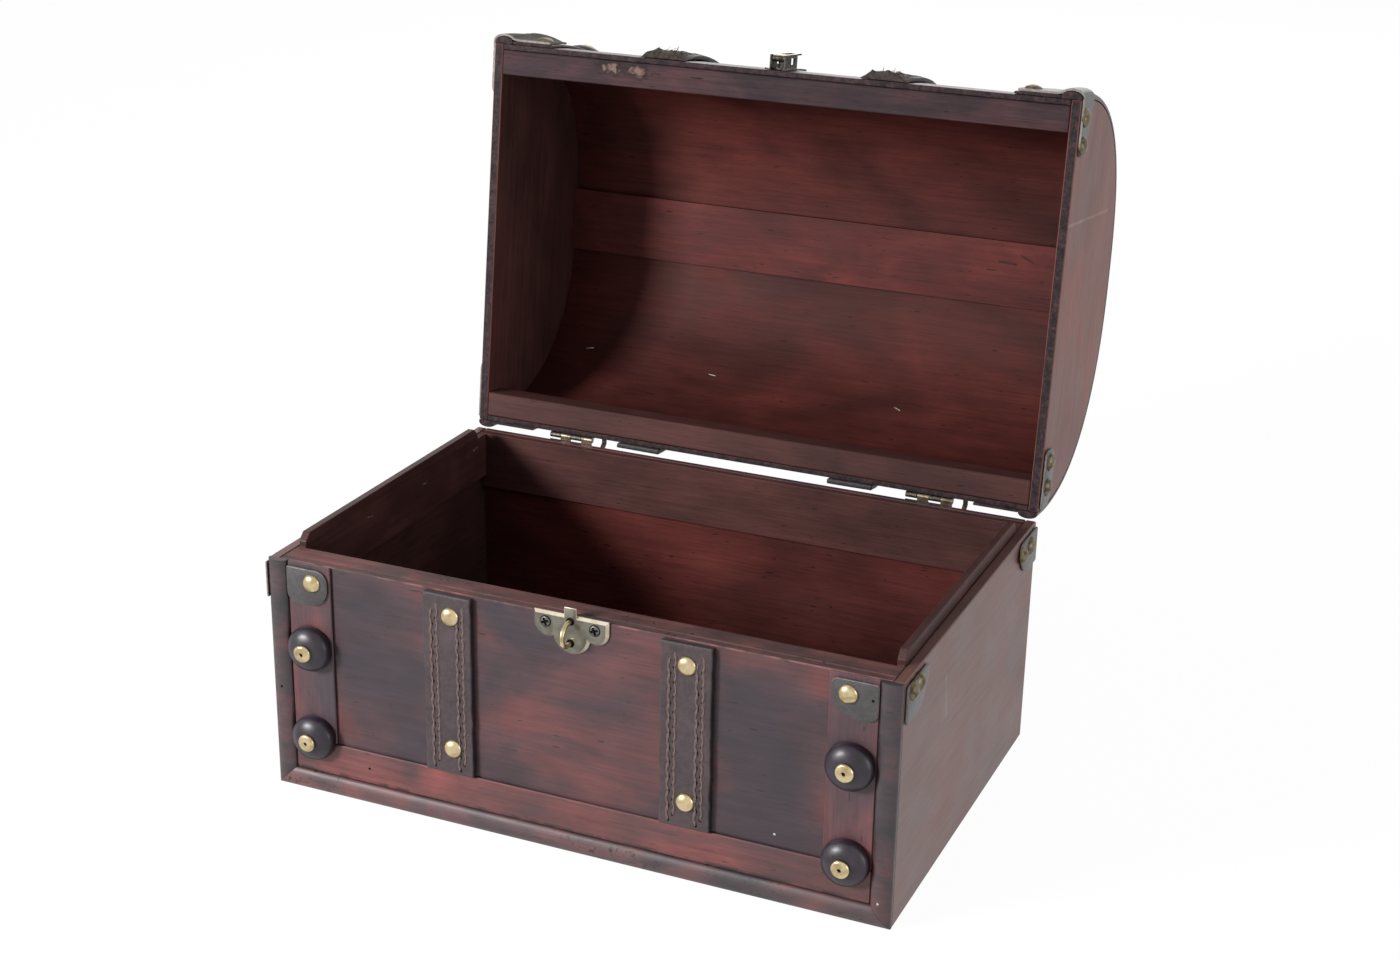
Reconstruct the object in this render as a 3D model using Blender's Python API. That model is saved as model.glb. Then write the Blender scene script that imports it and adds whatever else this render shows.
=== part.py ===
"""Treasure chest: a plywood box with a round-topped lid, leather straps, a hasp and two butt hinges.

Metres, +Z up. The origin is the middle of the underside, and the front faces -Y.
The chest stands open, with its lid leaning back on the two stops behind the hinges.
"""
import math

import bmesh
import bpy
from mathutils import Vector

MM = 0.001

# Clearances
GAP = 0.3 * MM
RIM_GAP = 1.4 * MM
LIP_CLEARANCE = 2.0 * MM
ARRIS = 0.5 * MM

# Body boards
CHEST_WIDTH = 355.0 * MM
BODY_DEPTH = 228.0 * MM
BODY_HEIGHT = 134.0 * MM
SIDE_THICKNESS = 5.7 * MM
FRONT_THICKNESS = 5.0 * MM
BACK_THICKNESS = 4.0 * MM
BOTTOM_THICKNESS = 5.0 * MM
BACK_INSET = 0.5 * MM
SIDE_CORNER_RADIUS = 1.5 * MM

# Battens inside the rim
FRONT_BATTEN_THICKNESS = 12.0 * MM
FRONT_BATTEN_HEIGHT = 18.0 * MM
BACK_RAIL_THICKNESS = 4.8 * MM
BACK_RAIL_HEIGHT = 35.0 * MM
LIP_THICKNESS = 4.5 * MM
LIP_BELOW_RIM = 27.0 * MM
LIP_RISE = 7.0 * MM
LIP_CHAMFER = 4.0 * MM

# Trim on the front
BEAD_WIDTH = 11.2 * MM
BEAD_THICKNESS = 4.0 * MM
BEAD_SIDE = 1.2 * MM
TRIM_THICKNESS = 1.4 * MM
STILE_WIDTH = 26.0 * MM
BOTTOM_RAIL_HEIGHT = 18.7 * MM

# Leather
STRAP_WIDTH = 28.0 * MM
STRAP_THICKNESS = 3.0 * MM
STRAP_LEFT_INSET = 108.2 * MM
STRAP_RIGHT_INSET = 111.8 * MM
STRAP_TOP_MARGIN = 1.0 * MM
LID_STRAP_MARGIN = 3.0 * MM
PATCH_THICKNESS = 1.3 * MM
PATCH_ROUND = 9.0 * MM
PATCH_SMALL_ROUND = 4.0 * MM
FRONT_PATCH_WIDTH = 24.5 * MM
PATCH_HEIGHT = 20.5 * MM
PATCH_RIM_MARGIN = 2.5 * MM
SIDE_PATCH_LENGTH = 32.0 * MM
LID_PATCH_LENGTH = 32.0 * MM
PATCH_EDGE_MARGIN = 1.2 * MM

# Wooden knobs
KNOB_RADIUS = 12.7 * MM
KNOB_HEIGHT = 8.6 * MM
KNOB_FOOT = 1.6 * MM
KNOB_UPPER_Z = 86.0 * MM
KNOB_LOWER_Z = 33.0 * MM
LID_KNOB_ALONG = 73.0 * MM

# Lid
LID_OPEN_ANGLE = math.radians(97.0)
LID_OVERHANG = 1.2 * MM
SKIN_RISE = 114.0 * MM
SKIN_THICKNESS = 3.0 * MM
ARCH_FRONT_POWER = 2.65
ARCH_BACK_POWER = 2.35
END_THICKNESS = 5.4 * MM
LID_RAIL_THICKNESS = 14.3 * MM
LID_RAIL_HEIGHT = 16.0 * MM
CROWN_BATTEN_WIDTH = 39.0 * MM
CROWN_BATTEN_THICKNESS = 5.0 * MM
BAND_THICKNESS = 1.5 * MM

# Butt hinges and lid stops
HINGE_INSET = 63.5 * MM
HINGE_RISE = 2.5 * MM
HINGE_LENGTH = 28.0 * MM
HINGE_LEAF_WIDTH = 14.0 * MM
LEAF_THICKNESS = 0.8 * MM
KNUCKLE_RADIUS = 1.7 * MM
KNUCKLE_COUNT = 4
STOP_OFFSET = 20.8 * MM
STOP_WIDTH = 2.6 * MM
STOP_THICKNESS = 1.2 * MM
STOP_FOOT = 14.0 * MM

# Hasp and staple
LATCH_X = 1.6 * MM
LATCH_RISE = 1.0 * MM
LATCH_PLATE_HALF_WIDTH = 21.0 * MM
LATCH_PLATE_THICKNESS = 2.0 * MM
LATCH_PLATE_BEVEL = 0.9 * MM
LATCH_WING_DROP = 6.5 * MM
LATCH_WING_RADIUS = 7.5 * MM
LATCH_LOBE_DROP = 11.0 * MM
LATCH_LOBE_RADIUS = 10.5 * MM
TONGUE_WIDTH = 7.0 * MM
TONGUE_RISE = 4.5 * MM
TONGUE_THICKNESS = 0.7 * MM
STAPLE_WIRE_RADIUS = 1.1 * MM
STAPLE_TOP_DROP = 2.0 * MM
STAPLE_HEIGHT = 12.0 * MM
STAPLE_LEG = 3.0 * MM
HASP_PLATE_WIDTH = 14.0 * MM
HASP_PLATE_LENGTH = 30.0 * MM
HASP_PLATE_THICKNESS = 1.0 * MM
HASP_EAR_THICKNESS = 0.9 * MM
HASP_EAR_START = 1.5 * MM
HASP_EAR_LENGTH = 19.0 * MM
HASP_PIN_RADIUS = 0.7 * MM
HASP_PIN_UP = 4.0 * MM
HASP_PIN_OUT = 6.8 * MM
HASP_REST_WIDTH = 3.0 * MM
HASP_WINDOW_LENGTH = 5.0 * MM
HASP_WINDOW_HEIGHT = 3.6 * MM
FLAP_THICKNESS = 1.0 * MM
FLAP_SLOT_WIDTH = 4.8 * MM
FLAP_SLOT_MARGIN = 1.2 * MM
FLAP_END = 4.2 * MM

# Facets
ARCH_STEPS = 44
CURVE_SAMPLES = 1600
KNOB_SEGMENTS = 24
PATCH_LEVELS = 8
ARC_STEP = math.radians(15.0)
ROLL_OPEN = math.radians(110.0)

# Planes worked out from the sizes above
HALF_WIDTH = CHEST_WIDTH / 2
INNER_HALF = HALF_WIDTH - SIDE_THICKNESS
BOARD_HALF = INNER_HALF - GAP
FRONT_FACE = -BODY_DEPTH / 2
BACK_EDGE = BODY_DEPTH / 2
BACK_FACE = BACK_EDGE - BACK_INSET
BATTEN_FRONT = FRONT_FACE + FRONT_THICKNESS + GAP
BATTEN_BACK = BATTEN_FRONT + FRONT_BATTEN_THICKNESS
BACK_RAIL_BACK = BACK_FACE - BACK_THICKNESS - GAP
BACK_RAIL_FRONT = BACK_RAIL_BACK - BACK_RAIL_THICKNESS
TRIM_BACK = FRONT_FACE - GAP
TRIM_FACE = TRIM_BACK - TRIM_THICKNESS
BEAD_INNER = HALF_WIDTH - BEAD_WIDTH
STILE_OUTER = BEAD_INNER - GAP
STILE_INNER = STILE_OUTER - STILE_WIDTH
BOTTOM_RAIL_FOOT = BEAD_WIDTH + GAP
BOTTOM_RAIL_TOP = BOTTOM_RAIL_FOOT + BOTTOM_RAIL_HEIGHT
KNOB_X = (STILE_OUTER + STILE_INNER) / 2
STRAP_LEFT_X = STRAP_LEFT_INSET - HALF_WIDTH
STRAP_RIGHT_X = HALF_WIDTH - STRAP_RIGHT_INSET
HINGE_X = HALF_WIDTH - HINGE_INSET

# The lid is drawn shut, about its hinge axis
AXIS_Y = BACK_FACE + GAP + KNUCKLE_RADIUS
AXIS_Z = BODY_HEIGHT + HINGE_RISE
LID_RIM = RIM_GAP - HINGE_RISE
SKIN_FRONT = FRONT_FACE - LID_OVERHANG - AXIS_Y
SKIN_BACK = BACK_FACE - AXIS_Y
ARCH_MIDDLE = (SKIN_FRONT + SKIN_BACK) / 2
ARCH_HALF = (SKIN_BACK - SKIN_FRONT) / 2
LID_INNER_HALF = HALF_WIDTH - END_THICKNESS - GAP
LID_RAIL_INSET = SKIN_THICKNESS + GAP

MATERIALS = {
    "stained_plywood": ((0.085, 0.045, 0.042), 0.45, 0.0),
    "stained_batten": ((0.120, 0.042, 0.034), 0.50, 0.0),
    "stained_bead": ((0.050, 0.034, 0.036), 0.40, 0.0),
    "black_leather": ((0.040, 0.042, 0.042), 0.60, 0.0),
    "black_lacquer": ((0.012, 0.012, 0.014), 0.25, 0.0),
    "latch_brass": ((0.60, 0.55, 0.42), 0.35, 1.0),
    "hinge_brass": ((0.42, 0.36, 0.24), 0.40, 1.0),
    "pin_steel": ((0.35, 0.34, 0.33), 0.35, 1.0),
}


def clear_scene():
    """Removes every object of the scene."""
    for old in list(bpy.data.objects):
        bpy.data.objects.remove(old, do_unlink=True)


def material(name):
    """Returns the named material, made on first use."""
    if name in bpy.data.materials:
        return bpy.data.materials[name]
    colour, roughness, metallic = MATERIALS[name]
    made = bpy.data.materials.new(name)
    made.use_nodes = True
    shader = made.node_tree.nodes["Principled BSDF"]
    shader.inputs["Base Color"].default_value = (*colour, 1.0)
    shader.inputs["Roughness"].default_value = roughness
    shader.inputs["Metallic"].default_value = metallic
    return made


def place_object(name, data, finish, parent=None):
    """Links a mesh or curve as a named object under its parent."""
    made = bpy.data.objects.new(name, data)
    bpy.context.scene.collection.objects.link(made)
    if finish:
        data.materials.append(material(finish))
    made.parent = parent
    return made


def axis_empty(name, place, turn, parent=None):
    """An empty on a joint's axis, turned about X."""
    made = place_object(name, None, None, parent)
    made.location = place
    made.rotation_euler = (turn, 0.0, 0.0)
    return made


def loft(name, rings, finish, parent=None):
    """A closed solid through rings of points that face each other."""
    shape = bmesh.new()
    loops = [[shape.verts.new(point) for point in ring] for ring in rings]
    count = len(rings[0])
    for here, there in zip(loops, loops[1:]):
        for i in range(count):
            j = (i + 1) % count
            shape.faces.new((here[i], here[j], there[j], there[i]))
    shape.faces.new(loops[0][::-1])
    shape.faces.new(loops[-1])
    return finish_mesh(name, shape, finish, parent)


def finish_mesh(name, shape, finish, parent=None):
    """Turns a bmesh into a named object with its faces outward."""
    bmesh.ops.recalc_face_normals(shape, faces=shape.faces)
    data = bpy.data.meshes.new(name)
    shape.to_mesh(data)
    shape.free()
    return place_object(name, data, finish, parent)


def prism_x(name, outline, x_low, x_high, finish, parent=None):
    """An outline of (y, z) points, run along X."""
    return loft(name, [[(x, y, z) for y, z in outline] for x in (x_low, x_high)], finish, parent)


def prism_y(name, outline, y_low, y_high, finish, parent=None):
    """An outline of (x, z) points, run along Y."""
    return loft(name, [[(x, y, z) for x, z in outline] for y in (y_low, y_high)], finish, parent)


def board(name, low, high, finish, parent=None, arris=ARRIS):
    """A straight board between two corners, with its arrises eased."""
    outline = [(low[1], low[2]), (high[1], low[2]), (high[1], high[2]), (low[1], high[2])]
    made = prism_x(name, outline, low[0], high[0], finish, parent)
    ease(made, arris)
    return made


def ease(item, width, segments=1):
    """Takes the sharpness off an object's arrises."""
    bevel = item.modifiers.new("eased_arrises", "BEVEL")
    bevel.width = width
    bevel.segments = segments
    bevel.limit_method = "ANGLE"
    bevel.angle_limit = math.radians(40.0)


def combine(base, others, operation):
    """Joins or cuts a base object with helper objects, which are then removed."""
    for other in others:
        step = base.modifiers.new(other.name, "BOOLEAN")
        step.operation = operation
        step.object = other
    bpy.context.view_layer.update()
    result = base.evaluated_get(bpy.context.evaluated_depsgraph_get())
    merged = bpy.data.meshes.new_from_object(result)
    base.modifiers.clear()
    base.data = merged
    for other in others:
        bpy.data.objects.remove(other, do_unlink=True)
    return base


def arc(centre, radius, start, end):
    """Points of an arc about a centre, both ends included."""
    count = max(2, math.ceil(abs(end - start) / ARC_STEP))
    angles = [start + (end - start) * i / count for i in range(count + 1)]
    return [(centre[0] + radius * math.cos(a), centre[1] + radius * math.sin(a)) for a in angles]


def rounded_box(low, high, radii):
    """A rectangle whose corners are rounded: bottom left, bottom right, top right, top left."""
    corners = ((low[0], low[1]), (high[0], low[1]), (high[0], high[1]), (low[0], high[1]))
    inward = ((1, 1), (-1, 1), (-1, -1), (1, -1))
    outline = []
    for i, (corner, sign, radius) in enumerate(zip(corners, inward, radii)):
        if radius <= 0.0:
            outline.append(corner)
            continue
        centre = (corner[0] + sign[0] * radius, corner[1] + sign[1] * radius)
        start = math.pi + i * math.pi / 2
        outline += arc(centre, radius, start, start + math.pi / 2)
    return outline


def arch_curve(half_depth, rise):
    """Finely spaced points of the lid's arch, fuller at the front, from the front rim to the back rim."""
    points = []
    for i in range(CURVE_SAMPLES + 1):
        turn = math.pi * (1.0 - i / CURVE_SAMPLES)
        across = math.cos(turn)
        power = 2.0 / (ARCH_FRONT_POWER if across < 0.0 else ARCH_BACK_POWER)
        y = math.copysign(abs(across) ** power, across) * half_depth
        z = abs(math.sin(turn)) ** power * rise
        points.append(Vector((ARCH_MIDDLE + y, LID_RIM + z)))
    return points


def curve_length(points):
    """Length of a line of points."""
    return sum((b - a).length for a, b in zip(points, points[1:]))


def stretch(points, start, end, steps):
    """Evenly spaced points of a line between two lengths along it."""
    wanted = [start + (end - start) * i / steps for i in range(steps + 1)]
    found = []
    done = 0.0
    for a, b in zip(points, points[1:]):
        span = (b - a).length
        while len(found) <= steps and wanted[len(found)] <= done + span + 1e-9:
            found.append(a.lerp(b, (wanted[len(found)] - done) / span))
        done += span
    return found


def offset(points, distance):
    """The line moved outward, away from the lid's hollow."""
    moved = []
    for i, point in enumerate(points):
        ahead = points[min(i + 1, len(points) - 1)]
        behind = points[max(i - 1, 0)]
        along = (ahead - behind).normalized()
        moved.append(point + distance * Vector((-along.y, along.x)))
    return moved


SKIN_CURVE = arch_curve(ARCH_HALF, SKIN_RISE)
SKIN_LENGTH = curve_length(SKIN_CURVE)


def skin_stretch(start, end, steps, distance):
    """Part of the lid skin's outer line, moved outward."""
    return offset(stretch(SKIN_CURVE, start, end, steps), distance)


def arch_sheet(name, inner, outer, x_low, x_high, finish, parent):
    """A bent sheet between an inner and an outer line, from one X to another."""
    shape = bmesh.new()
    grid = []
    for line in (inner, outer):
        for x in (x_low, x_high):
            grid.append([shape.verts.new((x, point.x, point.y)) for point in line])
    inner_low, inner_high, outer_low, outer_high = grid
    last = len(inner) - 1
    for i in range(last):
        for a, b in ((inner_low, inner_high), (outer_low, outer_high),
                     (inner_low, outer_low), (inner_high, outer_high)):
            shape.faces.new((a[i], a[i + 1], b[i + 1], b[i]))
    for i in (0, last):
        shape.faces.new((inner_low[i], inner_high[i], outer_high[i], outer_low[i]))
    return finish_mesh(name, shape, finish, parent)


def turned(name, centre, normal, profile, segments, finish, parent=None):
    """A turned solid: a profile of (radius, height) points spun about its normal."""
    shape = bmesh.new()
    edge = [shape.verts.new((radius, 0.0, height)) for radius, height in profile]
    spokes = [shape.edges.new(pair) for pair in zip(edge, edge[1:])]
    bmesh.ops.spin(shape, geom=edge + spokes, cent=(0, 0, 0), axis=(0, 0, 1),
                   angle=2.0 * math.pi, steps=segments, use_merge=True)
    bmesh.ops.remove_doubles(shape, verts=shape.verts, dist=1e-6)
    aim = normal.to_track_quat("Z", "Y").to_matrix()
    for vert in shape.verts:
        vert.co = aim @ vert.co + centre
    return finish_mesh(name, shape, finish, parent)


def build_case():
    """The six boards and battens of the box, with the lips that the lid closes over."""
    floor_front = FRONT_FACE + FRONT_THICKNESS + GAP
    floor_back = BACK_FACE - BACK_THICKNESS - GAP
    board("bottom_board", (-BOARD_HALF, floor_front, 0.0), (BOARD_HALF, floor_back, BOTTOM_THICKNESS),
          "stained_plywood")
    board("front_board", (-BOARD_HALF, FRONT_FACE, 0.0),
          (BOARD_HALF, FRONT_FACE + FRONT_THICKNESS, BODY_HEIGHT), "stained_plywood")
    board("back_board", (-BOARD_HALF, BACK_FACE - BACK_THICKNESS, 0.0),
          (BOARD_HALF, BACK_FACE, BODY_HEIGHT), "stained_plywood")
    board("front_top_batten", (-BOARD_HALF, BATTEN_FRONT, BODY_HEIGHT - FRONT_BATTEN_HEIGHT),
          (BOARD_HALF, BATTEN_BACK, BODY_HEIGHT), "stained_batten")
    board("back_top_rail", (-BOARD_HALF, BACK_RAIL_FRONT, BODY_HEIGHT - BACK_RAIL_HEIGHT),
          (BOARD_HALF, BACK_RAIL_BACK, BODY_HEIGHT), "stained_batten")
    side = rounded_box((FRONT_FACE, 0.0), (BACK_EDGE, BODY_HEIGHT), (0.0, 0.0, SIDE_CORNER_RADIUS, 0.0))
    lip = lip_outline()
    for name, sign in (("left", -1), ("right", 1)):
        made = prism_x(f"{name}_side_board", side, *sorted((sign * INNER_HALF, sign * HALF_WIDTH)),
                       "stained_plywood")
        ease(made, ARRIS)
        made = prism_x(f"{name}_lip_board", lip,
                       *sorted((sign * (BOARD_HALF - LIP_THICKNESS), sign * BOARD_HALF)), "stained_batten")
        ease(made, ARRIS)


def lip_outline():
    """Side view of a lip board: the part above the rim stops short of both lid rails."""
    front = BATTEN_BACK + GAP
    back = BACK_RAIL_FRONT - GAP
    foot = BODY_HEIGHT - LIP_BELOW_RIM
    shoulder = BODY_HEIGHT - GAP
    top = BODY_HEIGHT + LIP_RISE
    rail_depth = LID_RAIL_INSET + LID_RAIL_THICKNESS + LIP_CLEARANCE
    tall_front = max(front, FRONT_FACE - LID_OVERHANG + rail_depth)
    tall_back = min(back, BACK_FACE - rail_depth)
    low = [(front, shoulder), (front, foot), (back, foot), (back, shoulder)]
    tall = [(tall_back, shoulder), (tall_back, top - LIP_CHAMFER), (tall_back - LIP_CHAMFER, top),
            (tall_front + LIP_CHAMFER, top), (tall_front, top - LIP_CHAMFER), (tall_front, shoulder)]
    return low + tall


def bead_profile():
    """Half-round section of the corner beads: across from the outer edge, and forward."""
    half = BEAD_WIDTH / 2
    round_part = arc((0.0, 0.0), 1.0, math.pi, 0.0)
    bow = [(half + half * c, BEAD_SIDE + (BEAD_THICKNESS - BEAD_SIDE) * s) for c, s in round_part]
    return [(0.0, 0.0)] + bow + [(BEAD_WIDTH, 0.0)]


def build_front_trim():
    """Corner beads mitred round the front, flat stiles and the flat bottom rail."""
    profile = bead_profile()
    mitre_gap = GAP * math.sqrt(2.0) / 2
    for name, sign in (("left", -1), ("right", 1)):
        foot = [(sign * (HALF_WIDTH - u), TRIM_BACK - v, u + mitre_gap) for u, v in profile]
        top = [(x, y, BODY_HEIGHT) for x, y, _ in foot]
        loft(f"{name}_corner_bead", [foot, top], "stained_bead")
        low, high = sorted((sign * STILE_OUTER, sign * STILE_INNER))
        board(f"{name}_front_stile", (low, TRIM_FACE, BOTTOM_RAIL_TOP + GAP), (high, TRIM_BACK, BODY_HEIGHT),
              "stained_plywood")
    ends = []
    for sign in (-1, 1):
        ends.append([(sign * (HALF_WIDTH - u - mitre_gap), TRIM_BACK - v, u) for u, v in profile])
    loft("bottom_bead", ends, "stained_bead")
    board("front_bottom_rail", (-STILE_OUTER, TRIM_FACE, BOTTOM_RAIL_FOOT),
          (STILE_OUTER, TRIM_BACK, BOTTOM_RAIL_TOP), "stained_plywood")


def build_body_leather():
    """Two straps down the front, and the patches at the top corners."""
    for name, x in (("left", STRAP_LEFT_X), ("right", STRAP_RIGHT_X)):
        low = (x - STRAP_WIDTH / 2, TRIM_BACK - STRAP_THICKNESS, BOTTOM_RAIL_TOP + GAP)
        high = (x + STRAP_WIDTH / 2, TRIM_BACK, BODY_HEIGHT - STRAP_TOP_MARGIN)
        board(f"{name}_front_strap", low, high, "black_leather")
    top = BODY_HEIGHT - PATCH_RIM_MARGIN
    foot = top - PATCH_HEIGHT
    inner = STILE_OUTER - FRONT_PATCH_WIDTH
    for name, sign in (("left", -1), ("right", 1)):
        low, high = sorted((sign * STILE_OUTER, sign * inner))
        radii = (0.0, PATCH_ROUND, PATCH_SMALL_ROUND, 0.0)
        if sign > 0:
            radii = (PATCH_ROUND, 0.0, 0.0, PATCH_SMALL_ROUND)
        prism_y(f"{name}_front_patch", rounded_box((low, foot), (high, top), radii),
                TRIM_FACE - GAP - PATCH_THICKNESS, TRIM_FACE - GAP, "black_leather")
        face = sorted((sign * (HALF_WIDTH + GAP), sign * (HALF_WIDTH + GAP + PATCH_THICKNESS)))
        front = FRONT_FACE + PATCH_EDGE_MARGIN
        back = BACK_EDGE - PATCH_EDGE_MARGIN
        radii = (0.0, PATCH_ROUND, PATCH_SMALL_ROUND, 0.0)
        outline = rounded_box((front, foot), (front + SIDE_PATCH_LENGTH, top), radii)
        prism_x(f"{name}_side_front_patch", outline, *face, "black_leather")
        radii = (PATCH_ROUND, 0.0, PATCH_SMALL_ROUND, PATCH_SMALL_ROUND)
        outline = rounded_box((back - SIDE_PATCH_LENGTH, foot), (back, top), radii)
        prism_x(f"{name}_side_back_patch", outline, *face, "black_leather")


def knob_profile():
    """Half section of a turned knob, from the foot's middle to the crown's middle."""
    dome = arc((0.0, 0.0), 1.0, 0.0, math.pi / 2)
    rise = KNOB_HEIGHT - KNOB_FOOT
    bow = [(KNOB_RADIUS * math.sqrt(c), KNOB_FOOT + rise * s) for c, s in dome[:-1]]
    return [(0.0, 0.0), (KNOB_RADIUS - KNOB_FOOT / 2, 0.0)] + bow + [(0.0, KNOB_HEIGHT)]


def build_body_knobs():
    """Four black wooden knobs on the front stiles."""
    for name, sign in (("left", -1), ("right", 1)):
        for level, z in (("upper", KNOB_UPPER_Z), ("lower", KNOB_LOWER_Z)):
            turned(f"{name}_{level}_knob", Vector((sign * KNOB_X, TRIM_FACE - GAP, z)), Vector((0, -1, 0)),
                   knob_profile(), KNOB_SEGMENTS, "black_lacquer")


def latch_plate_outline():
    """Ogee outline of the staple's plate: two wings with rounded ends and a round lobe below."""
    top = BODY_HEIGHT + LATCH_RISE
    wing_x = LATCH_PLATE_HALF_WIDTH - LATCH_WING_RADIUS
    wing_z = top - LATCH_WING_DROP
    lobe_z = top - LATCH_LOBE_DROP
    apart = math.hypot(wing_x, wing_z - lobe_z)
    along = (LATCH_WING_RADIUS ** 2 - LATCH_LOBE_RADIUS ** 2 + apart ** 2) / (2.0 * apart)
    aside = math.sqrt(max(LATCH_WING_RADIUS ** 2 - along ** 2, 0.0))
    toward = Vector((-wing_x, lobe_z - wing_z)) / apart
    cusp = Vector((wing_x, wing_z)) + along * toward + aside * Vector((-toward.y, toward.x))
    wing_end = math.atan2(cusp.y - wing_z, cusp.x - wing_x)
    lobe_start = math.atan2(cusp.y - lobe_z, cusp.x)
    right = [(LATCH_PLATE_HALF_WIDTH, top)] + arc((wing_x, wing_z), LATCH_WING_RADIUS, 0.0, wing_end)
    lobe = arc((0.0, lobe_z), LATCH_LOBE_RADIUS, lobe_start, -math.pi / 2)[1:]
    half = right + lobe
    other = [(-x, z) for x, z in reversed(half[:-1])]
    return [(LATCH_X + x, z) for x, z in half + other]


def build_latch():
    """Staple plate with its raised field and locating tongue, and the wire staple."""
    outline = latch_plate_outline()
    shape = bmesh.new()
    rim = [shape.verts.new((x, TRIM_BACK, z)) for x, z in outline]
    base = shape.faces.new(rim)
    raised = bmesh.ops.extrude_face_region(shape, geom=[base])
    step = LATCH_PLATE_THICKNESS - LATCH_PLATE_BEVEL
    verts = [item for item in raised["geom"] if isinstance(item, bmesh.types.BMVert)]
    faces = [item for item in raised["geom"] if isinstance(item, bmesh.types.BMFace)]
    bmesh.ops.translate(shape, verts=verts, vec=(0.0, -step, 0.0))
    bmesh.ops.recalc_face_normals(shape, faces=shape.faces)
    bmesh.ops.inset_region(shape, faces=faces, thickness=LATCH_PLATE_BEVEL, depth=LATCH_PLATE_BEVEL)
    plate = finish_mesh("staple_plate", shape, "latch_brass")
    face = TRIM_BACK - LATCH_PLATE_THICKNESS
    half = TONGUE_WIDTH / 2
    tongue = rounded_box((LATCH_X - half, BODY_HEIGHT - STAPLE_TOP_DROP),
                         (LATCH_X + half, BODY_HEIGHT + LATCH_RISE + TONGUE_RISE), (0.0, 0.0, ARRIS, ARRIS))
    combine(plate, [prism_y("tongue_tool", tongue, face, face + TONGUE_THICKNESS, None)], "UNION")
    radius = STAPLE_HEIGHT / 2
    middle = (face - GAP - STAPLE_LEG, BODY_HEIGHT - STAPLE_TOP_DROP - radius)
    loop = arc(middle, radius, math.pi / 2, 1.5 * math.pi)
    foot = face - GAP
    route = [(foot, loop[0][1])] + loop + [(foot, loop[-1][1])]
    wire("staple", [(LATCH_X, y, z) for y, z in route], STAPLE_WIRE_RADIUS, "latch_brass")


def wire(name, route, radius, finish):
    """A round wire along a route, with closed ends."""
    line = bpy.data.curves.new(name, "CURVE")
    line.dimensions = "3D"
    line.bevel_depth = radius
    line.bevel_resolution = 2
    line.use_fill_caps = True
    spline = line.splines.new("POLY")
    spline.points.add(len(route) - 1)
    for point, place in zip(spline.points, route):
        point.co = (*place, 1.0)
    return place_object(name, line, finish)


def leaf_profile(way):
    """Section of a rolled hinge leaf about its pin: the plate runs down for -1 and up for +1."""
    inner = KNUCKLE_RADIUS - LEAF_THICKNESS
    outside = arc((0.0, 0.0), KNUCKLE_RADIUS, math.pi, -ROLL_OPEN)
    inside = arc((0.0, 0.0), inner, -ROLL_OPEN, math.pi)
    tail = -HINGE_LEAF_WIDTH
    section = [(-KNUCKLE_RADIUS, tail)] + outside + inside + [(-inner, tail)]
    return [(y, -way * z) for y, z in section]


def build_hinge_leaf(name, x_middle, way, parent, at):
    """A hinge leaf with every second knuckle rolled round the pin's place."""
    pitch = HINGE_LENGTH / KNUCKLE_COUNT
    left = x_middle - HINGE_LENGTH / 2
    clear = KNUCKLE_RADIUS + GAP
    if way < 0:
        clear = max(clear, HINGE_RISE)
    section = [(at[0] + y, at[1] + z) for y, z in leaf_profile(way)]
    ends = sorted((at[1] + way * clear, at[1] + way * HINGE_LEAF_WIDTH))
    inner = at[0] - KNUCKLE_RADIUS
    plate = [(inner, ends[0]), (inner + LEAF_THICKNESS, ends[0]),
             (inner + LEAF_THICKNESS, ends[1]), (inner, ends[1])]
    made = prism_x(name, plate, left, left + HINGE_LENGTH, "hinge_brass", parent)
    first = 0 if way > 0 else 1
    rolls = []
    for i in range(first, KNUCKLE_COUNT, 2):
        low = left + i * pitch + (GAP / 2 if i else 0.0)
        high = left + (i + 1) * pitch - (GAP / 2 if i < KNUCKLE_COUNT - 1 else 0.0)
        rolls.append(prism_x(f"roll_tool_{i}", section, low, high, None, parent))
    return combine(made, rolls, "UNION")


def build_hinges(lid):
    """Two butt hinges: a leaf on the back board, a leaf on the lid, and the pin that the body keeps."""
    pin = KNUCKLE_RADIUS - LEAF_THICKNESS - GAP
    for name, x in (("left", -HINGE_X), ("right", HINGE_X)):
        build_hinge_leaf(f"{name}_hinge_body_leaf", x, -1, None, (AXIS_Y, AXIS_Z))
        build_hinge_leaf(f"{name}_hinge_lid_leaf", x, 1, lid, (0.0, 0.0))
        round_pin = arc((AXIS_Y, AXIS_Z), pin, 0.0, 2.0 * math.pi)[:-1]
        prism_x(f"{name}_hinge_pin", round_pin, x - HINGE_LENGTH / 2, x + HINGE_LENGTH / 2, "pin_steel")


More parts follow.
